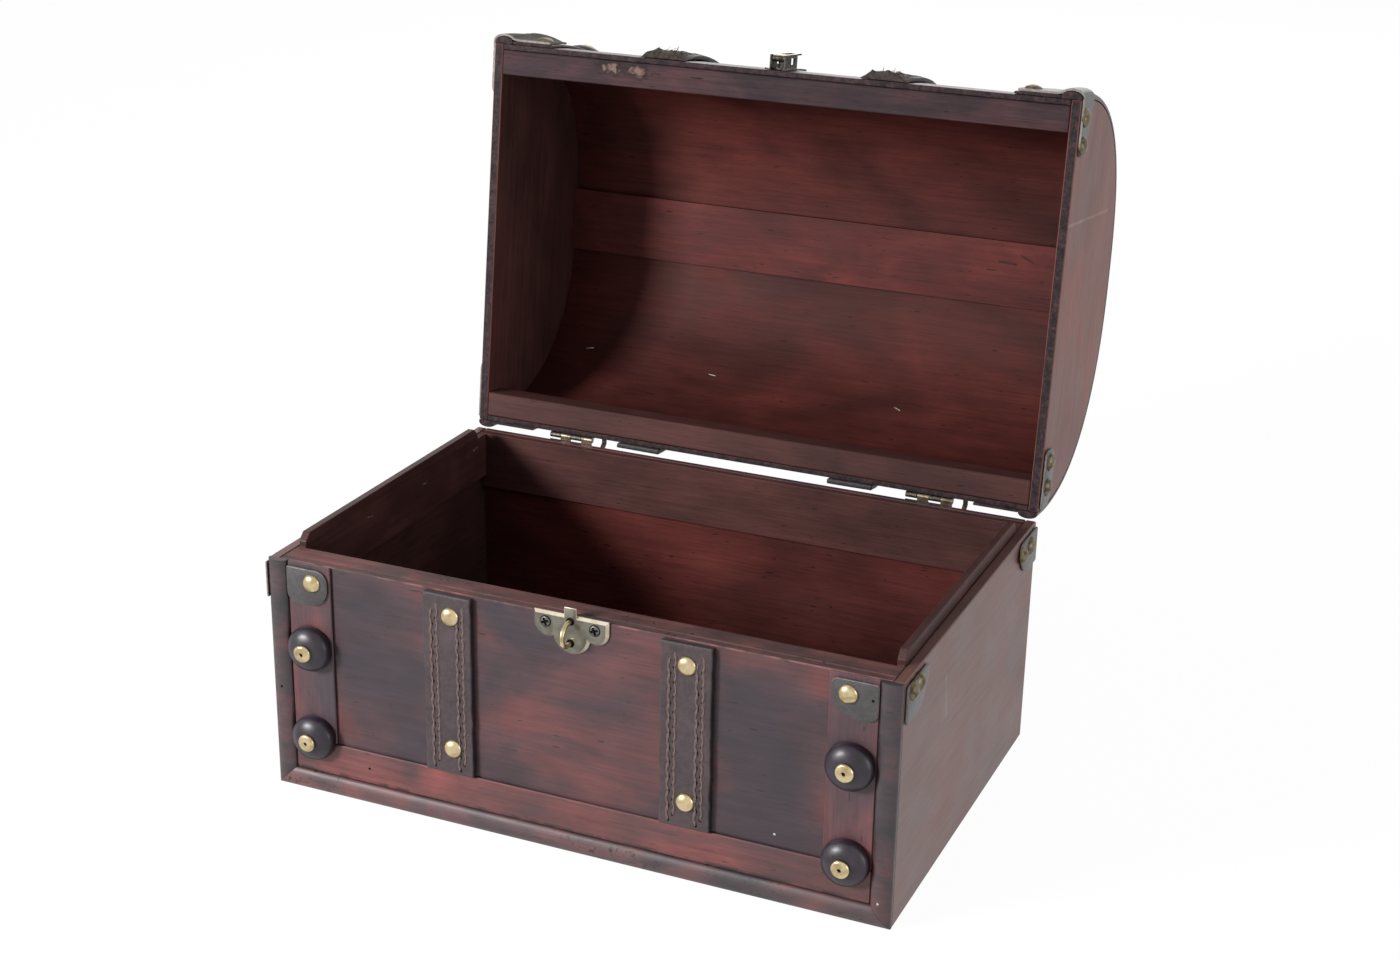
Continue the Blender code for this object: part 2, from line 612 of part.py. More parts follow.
def build_lid_stops():
    """Two cranked arms on the back board that the open lid leans on."""
    foot_y = BACK_FACE + GAP
    arm_y = AXIS_Y + KNUCKLE_RADIUS
    crank_low = AXIS_Z - STOP_FOOT / 3
    crank_high = AXIS_Z - KNUCKLE_RADIUS
    base = AXIS_Z - STOP_FOOT
    away = math.cos(LID_OPEN_ANGLE), math.sin(LID_OPEN_ANGLE)
    edge_y = SKIN_BACK * away[0] + LID_RIM * away[1]
    edge_z = -SKIN_BACK * away[1] + LID_RIM * away[0]
    slope = away[0] / away[1]
    tops = []
    for y in (arm_y + STOP_THICKNESS, arm_y):
        tops.append((y, AXIS_Z + edge_z + (y - AXIS_Y - edge_y) * slope - GAP))
    outline = [(foot_y, base), (foot_y + STOP_THICKNESS, base), (foot_y + STOP_THICKNESS, crank_low),
               (arm_y + STOP_THICKNESS, crank_high)] + tops
    outline += [(arm_y, crank_high + STOP_THICKNESS / 2), (foot_y, crank_low + STOP_THICKNESS / 2)]
    for name, x in (("left", -HINGE_X + STOP_OFFSET), ("right", HINGE_X + STOP_OFFSET)):
        prism_x(f"{name}_lid_stop", outline, x - STOP_WIDTH / 2, x + STOP_WIDTH / 2, "hinge_brass")


def end_outline():
    """Side view of a lid end: the arch over a straight rim."""
    return [(point.x, point.y) for point in skin_stretch(0.0, SKIN_LENGTH, ARCH_STEPS, 0.0)]


def build_lid_bead(name, sign, lid):
    """A half-round bead bent over the arch along the lid's end, like the body's corner beads."""
    foot = skin_stretch(0.0, SKIN_LENGTH, ARCH_STEPS, GAP)
    crest = skin_stretch(0.0, SKIN_LENGTH, ARCH_STEPS, GAP + BEAD_THICKNESS)
    rings = []
    for low, high in zip(foot, crest):
        spots = [(sign * (HALF_WIDTH - u), low.lerp(high, v / BEAD_THICKNESS)) for u, v in bead_profile()]
        rings.append([(x, spot.x, spot.y) for x, spot in spots])
    loft(f"{name}_lid_bead", rings, "stained_bead", lid)


def lid_rail_outline(front):
    """Section of a lid rail: flat on the rim and inside, bent outside to lie in the skin."""
    height = LID_RAIL_HEIGHT - LID_RIM
    start = 0.0 if front else SKIN_LENGTH - height
    bent = skin_stretch(start, start + height, 4, -LID_RAIL_INSET)
    if front:
        inside = SKIN_FRONT + LID_RAIL_INSET + LID_RAIL_THICKNESS
    else:
        bent.reverse()
        inside = SKIN_BACK - LID_RAIL_INSET - LID_RAIL_THICKNESS
    return [(point.x, point.y) for point in bent] + [(inside, bent[-1].y), (inside, LID_RIM)]


def build_lid(lid):
    """D-shaped ends, the bent skin, its rails, the crown batten, and the beads and bands over the arch."""
    outline = end_outline()
    for name, sign in (("left", -1), ("right", 1)):
        span = sorted((sign * (HALF_WIDTH - END_THICKNESS), sign * HALF_WIDTH))
        made = prism_x(f"{name}_lid_end", outline, *span, "stained_plywood", lid)
        ease(made, ARRIS)
        build_lid_bead(name, sign, lid)
        low, high = sorted((sign * STILE_INNER, sign * STILE_OUTER))
        arch_sheet(f"{name}_lid_band", skin_stretch(0.0, SKIN_LENGTH, ARCH_STEPS, GAP),
                   skin_stretch(0.0, SKIN_LENGTH, ARCH_STEPS, GAP + BAND_THICKNESS), low, high,
                   "stained_plywood", lid)
    arch_sheet("lid_skin", skin_stretch(0.0, SKIN_LENGTH, ARCH_STEPS, -SKIN_THICKNESS),
               skin_stretch(0.0, SKIN_LENGTH, ARCH_STEPS, 0.0), -LID_INNER_HALF, LID_INNER_HALF,
               "stained_plywood", lid)
    for name, front in (("front", True), ("back", False)):
        made = prism_x(f"lid_{name}_rail", lid_rail_outline(front), -LID_INNER_HALF, LID_INNER_HALF,
                       "stained_batten", lid)
        ease(made, ARRIS)
    crown = curve_length(SKIN_CURVE[:CURVE_SAMPLES // 2 + 1])
    half = CROWN_BATTEN_WIDTH / 2
    upper = skin_stretch(crown - half, crown + half, 6, -LID_RAIL_INSET)
    lower = LID_RIM + SKIN_RISE - LID_RAIL_INSET - CROWN_BATTEN_THICKNESS
    batten = [(point.x, point.y) for point in upper] + [(upper[-1].x, lower), (upper[0].x, lower)]
    prism_x("lid_crown_batten", batten, -LID_INNER_HALF, LID_INNER_HALF, "stained_batten", lid)


def build_lid_leather(lid):
    """Straps over the lid, patches folded round its front corners, and patches at the back of its ends."""
    for name, x in (("left", STRAP_LEFT_X), ("right", STRAP_RIGHT_X)):
        start, end = LID_STRAP_MARGIN, SKIN_LENGTH
        arch_sheet(f"{name}_lid_strap", skin_stretch(start, end, ARCH_STEPS, GAP),
                   skin_stretch(start, end, ARCH_STEPS, GAP + STRAP_THICKNESS),
                   x - STRAP_WIDTH / 2, x + STRAP_WIDTH / 2, "black_leather", lid)
    low = LID_RIM + PATCH_EDGE_MARGIN
    back = SKIN_BACK - PATCH_EDGE_MARGIN
    radii = (PATCH_SMALL_ROUND, PATCH_SMALL_ROUND, PATCH_ROUND, PATCH_ROUND)
    for name, sign in (("left", -1), ("right", 1)):
        build_corner_patch(f"{name}_lid_corner_patch", sign, lid)
        face = sorted((sign * (HALF_WIDTH + GAP), sign * (HALF_WIDTH + GAP + PATCH_THICKNESS)))
        outline = rounded_box((back - LID_PATCH_LENGTH, low), (back, low + PATCH_HEIGHT), radii)
        prism_x(f"{name}_lid_end_back_patch", outline, *face, "black_leather", lid)


def patch_trim(along):
    """How far a corner patch's ends draw in at a height above its lower edge, to round its corners."""
    for radius, inside in ((PATCH_SMALL_ROUND, PATCH_SMALL_ROUND - along),
                           (PATCH_ROUND, along - (PATCH_HEIGHT - PATCH_ROUND))):
        if inside > 0.0:
            return radius - math.sqrt(max(radius ** 2 - inside ** 2, 0.0))
    return 0.0


def thicken(path, thickness):
    """A closed ring from an open path and its copy moved to the left by a thickness."""
    moved = []
    for i, point in enumerate(path):
        before = (point - path[i - 1]).normalized() if i else None
        after = (path[i + 1] - point).normalized() if i < len(path) - 1 else None
        along = before or after
        if before and after:
            along = (before + after).normalized()
        reach = thickness / along.dot(before or after)
        moved.append(point + reach * Vector((-along.y, along.x)))
    return path + moved[::-1]


def build_corner_patch(name, sign, lid):
    """One leather patch folded round a front corner of the lid: band, over the bead, then the end."""
    flat = GAP + BAND_THICKNESS + GAP
    bead_middle = HALF_WIDTH - BEAD_WIDTH / 2
    half = BEAD_WIDTH / 2 + GAP
    side = GAP + BEAD_SIDE
    rise = BEAD_THICKNESS - BEAD_SIDE + GAP
    over = arc((0.0, 0.0), 1.0, math.radians(150.0), 0.0)
    rings = []
    for i in range(PATCH_LEVELS + 1):
        along = PATCH_HEIGHT * i / PATCH_LEVELS
        trim = patch_trim(along)
        path = [Vector((STILE_OUTER - FRONT_PATCH_WIDTH + trim, flat))]
        path.append(Vector((BEAD_INNER - BEAD_WIDTH / 4, flat)))
        path += [Vector((bead_middle + half * c, side + rise * s)) for c, s in over]
        path.append(Vector((HALF_WIDTH + GAP, trim - LID_PATCH_LENGTH)))
        start = PATCH_EDGE_MARGIN + along
        near = stretch(SKIN_CURVE, start, start + PATCH_EDGE_MARGIN, 1)
        up = (near[1] - near[0]).normalized()
        out = Vector((-up.y, up.x))
        spots = [(sign * point.x, near[0] + point.y * out) for point in thicken(path, PATCH_THICKNESS)]
        rings.append([(x, spot.x, spot.y) for x, spot in spots])
    loft(name, rings, "black_leather", lid)


def build_lid_knobs(lid):
    """Two black knobs on the bands at the lid's front."""
    around = (LID_KNOB_ALONG - KNOB_FOOT, LID_KNOB_ALONG + KNOB_FOOT, 2)
    near = skin_stretch(*around, GAP + BAND_THICKNESS + GAP)
    along = (near[2] - near[0]).normalized()
    out = Vector((0.0, -along.y, along.x))
    for name, sign in (("left", -1), ("right", 1)):
        turned(f"{name}_lid_knob", Vector((sign * KNOB_X, near[1].x, near[1].y)), out, knob_profile(),
               KNOB_SEGMENTS, "black_lacquer", lid)


def build_hasp(lid):
    """Hasp plate with two ears on the lid's front, its pin, and the slotted flap folded back on it."""
    ear_inner = TONGUE_WIDTH / 2 + GAP
    half = HASP_PLATE_WIDTH / 2
    start = max(LATCH_RISE - RIM_GAP, 0.0) + GAP
    ends = (start, start + HASP_PLATE_LENGTH, 8)
    under = skin_stretch(*ends, GAP)
    over = skin_stretch(*ends, GAP + HASP_PLATE_THICKNESS)
    plate = arch_sheet("hasp_plate", under, over, LATCH_X - half, LATCH_X + half, "latch_brass", lid)
    pin_y = SKIN_FRONT - HASP_PIN_OUT
    pin_z = LID_RIM + HASP_PIN_UP
    bore = HASP_PIN_RADIUS + GAP
    roll = bore + FLAP_THICKNESS
    ear_top = pin_y - roll
    ear_low = LID_RIM + HASP_EAR_START
    ear_high = ear_low + HASP_EAR_LENGTH
    foot = skin_stretch(ear_low - LID_RIM, ear_high - LID_RIM, 2, GAP + HASP_PLATE_THICKNESS / 2)
    ear = [(point.x, point.y) for point in foot] + [(ear_top, ear_high), (ear_top, ear_low)]
    added = []
    for name, sign in (("left", -1), ("right", 1)):
        span = sorted((LATCH_X + sign * ear_inner, LATCH_X + sign * (ear_inner + HASP_EAR_THICKNESS)))
        added.append(prism_x(f"ear_tool_{name}", ear, *span, None, lid))
    slot_start = RIM_GAP + HASP_PIN_UP + STAPLE_TOP_DROP - STAPLE_WIRE_RADIUS - FLAP_SLOT_MARGIN
    slot_end = slot_start + STAPLE_HEIGHT + 2.0 * (STAPLE_WIRE_RADIUS + FLAP_SLOT_MARGIN)
    rest_low = pin_z + slot_start - FLAP_SLOT_MARGIN - HASP_EAR_THICKNESS
    rest_foot = skin_stretch(rest_low - LID_RIM, rest_low + HASP_EAR_THICKNESS - LID_RIM, 1,
                             GAP + HASP_PLATE_THICKNESS / 2)
    rest_top = pin_y - bore + GAP
    rest = [(point.x, point.y) for point in rest_foot]
    rest += [(rest_top, rest_low + HASP_EAR_THICKNESS), (rest_top, rest_low)]
    span = (LATCH_X - HASP_REST_WIDTH / 2, LATCH_X + HASP_REST_WIDTH / 2)
    added.append(prism_x("rest_tool", rest, *span, None, lid))
    combine(plate, added, "UNION")
    wide = (LATCH_X - HASP_PLATE_WIDTH, LATCH_X + HASP_PLATE_WIDTH)
    round_bore = arc((pin_y, pin_z), bore, 0.0, 2.0 * math.pi)[:-1]
    window_low = ear_high - HASP_EAR_LENGTH / 2
    window_out = SKIN_FRONT - (HASP_PIN_OUT - HASP_WINDOW_HEIGHT)
    window = rounded_box((window_out - HASP_WINDOW_HEIGHT, window_low),
                         (window_out, window_low + HASP_WINDOW_LENGTH), (0.0,) * 4)
    cuts = [prism_x("bore_tool", round_bore, *wide, None, lid)]
    cuts.append(prism_x("window_tool", window, *wide, None, lid))
    notch_top = LID_RIM + LATCH_RISE + TONGUE_RISE - RIM_GAP + GAP
    notch = rounded_box((LATCH_X - ear_inner, LID_RIM - GAP), (LATCH_X + ear_inner, notch_top), (0.0,) * 4)
    cuts.append(prism_y("notch_tool", notch, SKIN_FRONT - BEAD_THICKNESS, SKIN_FRONT, None, lid))
    combine(plate, cuts, "DIFFERENCE")
    round_pin = arc((pin_y, pin_z), HASP_PIN_RADIUS, 0.0, 2.0 * math.pi)[:-1]
    pin_half = ear_inner + HASP_EAR_THICKNESS
    prism_x("hasp_pin", round_pin, LATCH_X - pin_half, LATCH_X + pin_half, "pin_steel", lid)
    hasp = axis_empty("hasp_axis", (0.0, pin_y, pin_z), 0.0, lid)
    build_flap(hasp, bore, roll, slot_start, slot_end)


def build_flap(hasp, bore, roll, slot_start, slot_end):
    """Slotted hasp flap, rolled round its pin, drawn about the pin's axis."""
    length = slot_end + FLAP_END
    roll_end = 2.0 * math.pi + ROLL_OPEN
    section = [(-roll, length)] + arc((0.0, 0.0), roll, math.pi, roll_end)
    section += arc((0.0, 0.0), bore, roll_end, math.pi) + [(-bore, length)]
    half = TONGUE_WIDTH / 2
    flap = prism_x("hasp_flap", section, LATCH_X - half, LATCH_X + half, "latch_brass", hasp)
    slot_half = FLAP_SLOT_WIDTH / 2
    slot = rounded_box((LATCH_X - slot_half, slot_start), (LATCH_X + slot_half, slot_end),
                       (FLAP_SLOT_MARGIN,) * 4)
    tool = prism_y("slot_tool", slot, -roll - FLAP_THICKNESS, -bore + FLAP_THICKNESS / 2, None, hasp)
    combine(flap, [tool], "DIFFERENCE")


def main():
    """Builds the whole chest."""
    clear_scene()
    build_case()
    build_front_trim()
    build_body_leather()
    build_body_knobs()
    build_latch()
    lid = axis_empty("lid_axis", (0.0, AXIS_Y, AXIS_Z), -LID_OPEN_ANGLE)
    build_hinges(lid)
    build_lid_stops()
    build_lid(lid)
    build_lid_leather(lid)
    build_lid_knobs(lid)
    build_hasp(lid)


main()
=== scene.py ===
# %% [markdown]
# # A round-topped treasure chest
# The chest is a small plywood box, stained like mahogany, with a lid bent over two D-shaped ends.
# Its joints, boards and metalwork come from the CAD model, which stays exactly where it is.
# This lesson gives every board its finish, and models again by hand whatever is soft, round or small:
# the beads, the leather, the knobs, the catch and the tacks.

# %% Load the frame
import math
import random

import bpy
import numpy as np
from mathutils import Matrix, Vector


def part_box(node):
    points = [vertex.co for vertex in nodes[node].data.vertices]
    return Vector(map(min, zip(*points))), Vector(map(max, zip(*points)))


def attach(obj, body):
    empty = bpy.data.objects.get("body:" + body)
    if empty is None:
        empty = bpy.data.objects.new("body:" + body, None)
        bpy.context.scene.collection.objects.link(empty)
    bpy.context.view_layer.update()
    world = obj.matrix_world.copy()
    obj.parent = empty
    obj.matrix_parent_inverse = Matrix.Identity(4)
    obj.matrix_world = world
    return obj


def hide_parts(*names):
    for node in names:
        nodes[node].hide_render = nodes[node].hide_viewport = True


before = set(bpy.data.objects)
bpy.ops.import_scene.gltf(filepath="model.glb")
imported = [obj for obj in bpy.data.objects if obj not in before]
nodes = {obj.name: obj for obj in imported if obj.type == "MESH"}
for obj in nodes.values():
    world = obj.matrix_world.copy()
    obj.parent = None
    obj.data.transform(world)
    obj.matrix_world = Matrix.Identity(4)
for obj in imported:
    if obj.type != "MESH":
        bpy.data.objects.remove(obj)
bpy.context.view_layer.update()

MM = 0.001
luck = random.Random(11)

# %% [markdown]
# ## The camera
# The photograph was taken from the right and from above, with a normal lens and hardly any roll.
# The eye point and the angles were found once, by fitting the chest's corners to the picture.
# A camera could also be aimed with a Track To constraint, but plain turns keep the small roll exact.

# %% Camera
EYE = Vector((0.4634, -1.0298, 0.6015))
AZIMUTH = math.radians(23.25)
ELEVATION = math.radians(21.0)
ROLL = math.radians(1.06)
SENSOR_WIDTH = 36.0
FOCAL_LENGTH = 57.58
camera = bpy.data.objects.new("camera", bpy.data.cameras.new("camera"))
bpy.context.scene.collection.objects.link(camera)
aim = Matrix.Rotation(AZIMUTH, 4, "Z") @ Matrix.Rotation(math.pi / 2 - ELEVATION, 4, "X")
camera.matrix_world = Matrix.Translation(EYE) @ aim @ Matrix.Rotation(ROLL, 4, "Z")
camera.data.sensor_width = SENSOR_WIDTH
camera.data.lens = FOCAL_LENGTH
bpy.context.scene.camera = camera
bpy.context.scene.view_settings.view_transform = "Standard"
print("camera at", tuple(round(value, 3) for value in EYE))

# %% [markdown]
# ## A white studio
# A white studio sweep surrounds the chest, so the stain picks up a pale sheen on every outer face.
# The background could be lit until it clips, but that would bleach the chest as well.
# So the world is plain white to the camera and to mirror rays, and dim to the rays that carry soft light.

# %% Shader shorthand
def add(tree, kind, inputs, **settings):
    """Adds a shader node. An input is a plain value or another node's output."""
    made = tree.nodes.new("ShaderNode" + kind)
    for key, value in settings.items():
        setattr(made, key, value)
    for key, value in inputs.items():
        if isinstance(value, bpy.types.NodeSocket):
            tree.links.new(value, made.inputs[key])
        else:
            made.inputs[key].default_value = value
    return made


def worked(tree, way, *values):
    """The result of a sum on plain values or other nodes' outputs."""
    return add(tree, "Math", dict(enumerate(values)), operation=way).outputs[0]


def seen_directly(tree):
    """1 for camera, mirror and see-through rays, 0 for the rays that carry soft light."""
    path = add(tree, "LightPath", {}).outputs
    seen = worked(tree, "MAXIMUM", path["Is Camera Ray"], path["Is Glossy Ray"])
    return worked(tree, "MAXIMUM", seen, path["Is Transmission Ray"])


print("shader shorthand ready")

# %% White world
WHITE = (1.0, 1.0, 1.0, 1.0)
WORLD_LIGHT = 0.20
world = bpy.data.worlds.new("white_studio")
bpy.context.scene.world = world
world.use_nodes = True
tree = world.node_tree
tree.nodes.clear()
soft = add(tree, "Background", {"Color": WHITE, "Strength": WORLD_LIGHT})
plain = add(tree, "Background", {"Color": WHITE, "Strength": 1.0})
both = add(tree, "MixShader", {0: seen_directly(tree), 1: soft.outputs[0], 2: plain.outputs[0]})
add(tree, "OutputWorld", {"Surface": both.outputs[0]})
print("soft light of the world:", WORLD_LIGHT)

# %% [markdown]
# ## The floor
# The chest stands on a plain pale sheet that shows little more than its shadow.
# Matt white paint alone would look grey beside the background, so most of what the camera sees is a glow.
# The small share of paint that is left lets the shadow through.

# %% Pale floor
FLOOR_SIZE = 14.0
FLOOR_SHADOW = 0.06
FLOOR_GLOW = 1.03
FLOOR_PAINT = (0.84, 0.84, 0.84, 1.0)
bpy.ops.object.select_all(action="DESELECT")
bpy.ops.mesh.primitive_plane_add(size=FLOOR_SIZE)
floor = bpy.context.object
floor.name = "floor"
pale = bpy.data.materials.new("pale_floor")
pale.use_nodes = True
tree = pale.node_tree
tree.nodes.clear()
matt = add(tree, "BsdfDiffuse", {"Color": FLOOR_PAINT})
glow = add(tree, "Emission", {"Color": WHITE, "Strength": FLOOR_GLOW})
share = worked(tree, "MULTIPLY", seen_directly(tree), 1.0 - FLOOR_SHADOW)
both = add(tree, "MixShader", {0: share, 1: matt.outputs[0], 2: glow.outputs[0]})
add(tree, "OutputMaterial", {"Surface": both.outputs[0]})
floor.data.materials.append(pale)
print("floor", FLOOR_SIZE, "m wide")

# %% [markdown]
# ## The lamps
# A soft lamp at the front left throws the shadow that fills the left of the box and of the lid.
# A second one, square to the right end, lights that side, and a third one stands behind for the back.
# Sun lamps would draw hard shadows, so all three are square panels, aimed at the middle of the chest.

# %% Lamps
LIT_POINT = Vector((0.0, 0.02, 0.17))
# Each lamp has a name, a place, a width in metres and a power in watts.
LAMPS = (("key_lamp", (-1.32, -1.66, 0.92), 0.50, 58.0), ("side_lamp", (2.20, -0.35, 0.45), 1.20, 12.0),
         ("back_lamp", (-0.40, 2.40, 1.30), 1.60, 16.0))
for name, place, size, power in LAMPS:
    lamp = bpy.data.objects.new(name, bpy.data.lights.new(name, "AREA"))
    lamp.data.size = size
    lamp.data.energy = power
    bpy.context.scene.collection.objects.link(lamp)
    lamp.location = place
    lamp.rotation_euler = (LIT_POINT - Vector(place)).to_track_quat("-Z", "Y").to_euler()
print(len(LAMPS), "lamps")

# %% [markdown]
# ## Patterns for the finishes
# Little on an old chest is of one colour: stain pools, leather creases and plating tarnishes.
# A photograph could be wrapped on, but it would need an image and would stretch at the bends.
# So nearly every colour is built from noise that reads Object coordinates, and moves with its piece.

# %% Pattern helpers
def new_finish(name, roughness, metallic=0.0, specular=0.5):
    """A new material with its constant values on the shader's own sockets."""
    finish = bpy.data.materials.new(name)
    finish.use_nodes = True
    shader = finish.node_tree.nodes["Principled BSDF"]
    shader.inputs["Roughness"].default_value = roughness
    shader.inputs["Metallic"].default_value = metallic
    shader.inputs["Specular IOR Level"].default_value = specular
    return finish, finish.node_tree, shader


def placed(tree, scale=(1.0, 1.0, 1.0), turn=(0.0, 0.0, 0.0), shift=(0.0, 0.0, 0.0)):
    """Object coordinates, shifted, turned and stretched."""
    where = add(tree, "TexCoord", {}).outputs["Object"]
    turned = add(tree, "Mapping", {"Vector": where, "Location": shift, "Rotation": turn})
    return add(tree, "Mapping", {"Vector": turned.outputs[0], "Scale": scale}).outputs[0]


def noise(tree, where, size, detail=4.0, warp=0.0):
    """Cloudy noise from 0 to 1, with blots of about the given size."""
    inputs = {"Vector": where, "Scale": 1.0 / size, "Detail": detail, "Distortion": warp}
    return add(tree, "TexNoise", inputs).outputs["Fac"]


def ranged(tree, value, source=(0.0, 1.0), target=(0.0, 1.0)):
    """Takes a value from one range to another, and stops it at both ends."""
    ends = {"From Min": source[0], "From Max": source[1], "To Min": target[0], "To Max": target[1]}
    return add(tree, "MapRange", {"Value": value, **ends}).outputs[0]


def ramp(tree, factor, stops):
    """Colours or greys at places from 0 to 1."""
    made = add(tree, "ValToRGB", {"Fac": factor})
    while len(made.color_ramp.elements) < len(stops):
        made.color_ramp.elements.new(0.5)
    for element, (place, colour) in zip(made.color_ramp.elements, stops):
        element.position = place
        element.color = (*colour, 1.0) if isinstance(colour, tuple) else (colour, colour, colour, 1.0)
    return made.outputs["Color"]


def mix(tree, factor, first, second, way="MIX"):
    """Two colours mixed, multiplied or added."""
    made = tree.nodes.new("ShaderNodeMix")
    made.data_type = "RGBA"
    made.blend_type = way
    for socket, value in zip((made.inputs[0], made.inputs[6], made.inputs[7]), (factor, first, second)):
        if isinstance(value, bpy.types.NodeSocket):
            tree.links.new(value, socket)
        else:
            socket.default_value = (*value, 1.0) if isinstance(value, tuple) else value
    return made.outputs[2]


def rough_skin(tree, shader, height, distance, strength=1.0):
    """Gives the shader a bumpy normal from a height pattern."""
    made = add(tree, "Bump", {"Height": height, "Distance": distance, "Strength": strength})
    tree.links.new(made.outputs[0], shader.inputs["Normal"])


print("pattern helpers ready")

# %% [markdown]
# ## Marks in the wood
# The chest is rubbed red in places, pitted, chipped at two knots, scratched, and worn along its front arris.
# Such marks could be painted by hand, but that needs an image, and a mask made of distances needs none.
# Each mask is 1 on its mark and 0 beside it, and noise breaks its edge.

# %% Masks of the marks
HALF_WIDTH = 177.5 * MM


def rubbed_across(tree, stops):
    """How far the stain was rubbed through at each distance from the middle of the front."""
    across = add(tree, "SeparateXYZ", {"Vector": placed(tree)}).outputs[0]
    share = worked(tree, "DIVIDE", worked(tree, "ABSOLUTE", across), HALF_WIDTH)
    return ramp(tree, share, [(place * MM / HALF_WIDTH, grey) for place, grey in stops])


def pitted(tree, seed):
    """Dark worm-like pits, gathered in a few places."""
    pits = noise(tree, placed(tree, shift=(seed, 0.0, 0.0)), 2.2 * MM, 2.0)
    where = noise(tree, placed(tree, shift=(0.0, seed, 0.0)), 30.0 * MM, 2.0)
    few = ramp(tree, where, [(0.52, 0.0), (0.60, 1.0)])
    return mix(tree, 1.0, ramp(tree, pits, [(0.60, 0.0), (0.66, 1.0)]), few, "MULTIPLY")


def knot(tree, place, size):
    """A ragged chipped spot of the given size round a place: its pale core and its dark ring."""
    shift = tuple(-value * MM for value in place)
    near = placed(tree, tuple(1.0 / (value * MM) for value in size), shift=shift)
    away = add(tree, "VectorMath", {0: near}, operation="LENGTH").outputs["Value"]
    ragged = worked(tree, "MULTIPLY_ADD", noise(tree, placed(tree), 4.0 * MM, 4.0, 0.8), 2.4, away)
    core = ranged(tree, ragged, (1.5, 2.0), (0.85, 0.0))
    ring = ranged(tree, ragged, (2.0, 2.5), (0.75, 0.0))
    return core, ring


def scratch(tree, start, end, width):
    """A straight scratch between two places: 1 along its middle, 0 beside it."""
    first = Vector(start) * MM
    run = Vector(end) * MM - first
    beside = placed(tree, shift=tuple(-first))
    along = add(tree, "VectorMath", {0: beside, 1: run / run.length_squared}, operation="DOT_PRODUCT")
    share = add(tree, "Clamp", {"Value": along.outputs["Value"]}).outputs[0]
    foot = add(tree, "VectorMath", {0: tuple(run), "Scale": share}, operation="SCALE").outputs[0]
    away = add(tree, "VectorMath", {0: beside, 1: foot}, operation="DISTANCE").outputs["Value"]
    near = ranged(tree, away, (width * 0.2, width), (0.7, 0.0))
    broken = ramp(tree, noise(tree, placed(tree), 9.0 * MM, 3.0), [(0.34, 0.35), (0.55, 1.0)])
    return mix(tree, 1.0, near, broken, "MULTIPLY")


def wear_line(tree, depth, height, width):
    """A broken line along a front arris: 1 on the arris, 0 a little way from it."""
    beside = placed(tree, (0.0, 1.0, 1.0), shift=(0.0, -depth, -height))
    away = add(tree, "VectorMath", {0: beside}, operation="LENGTH").outputs["Value"]
    near = ranged(tree, away, (width * 0.5, width), (1.0, 0.0))
    chips = ramp(tree, noise(tree, placed(tree), 12.0 * MM, 5.0, 0.5), [(0.44, 0.0), (0.58, 0.9)])
    return mix(tree, 1.0, near, chips, "MULTIPLY")


print("masks ready")

# %% [markdown]
# ## Stained wood
# The plywood was stained by hand: slate-dark where the stain pooled, red where it was rubbed through.
# One flat brown would look like plastic, and veneer has a finer order than plain noise.
# So a broad noise gives the patches, and narrow ones, drawn out along the grain, give streaks and pores.

# %% Stained wood
ALONG = {"x": (0.0, 0.0, 0.0), "y": (0.0, 0.0, math.pi / 2), "z": (0.0, math.pi / 2, 0.0)}
TONE_PLACES = (0.32, 0.50, 0.70)
FLECK_DARK = (0.010, 0.006, 0.006)
PIT_DARK = (0.012, 0.008, 0.008)
KNOT_RING, KNOT_CORE = (0.014, 0.010, 0.011), (0.23, 0.14, 0.112)


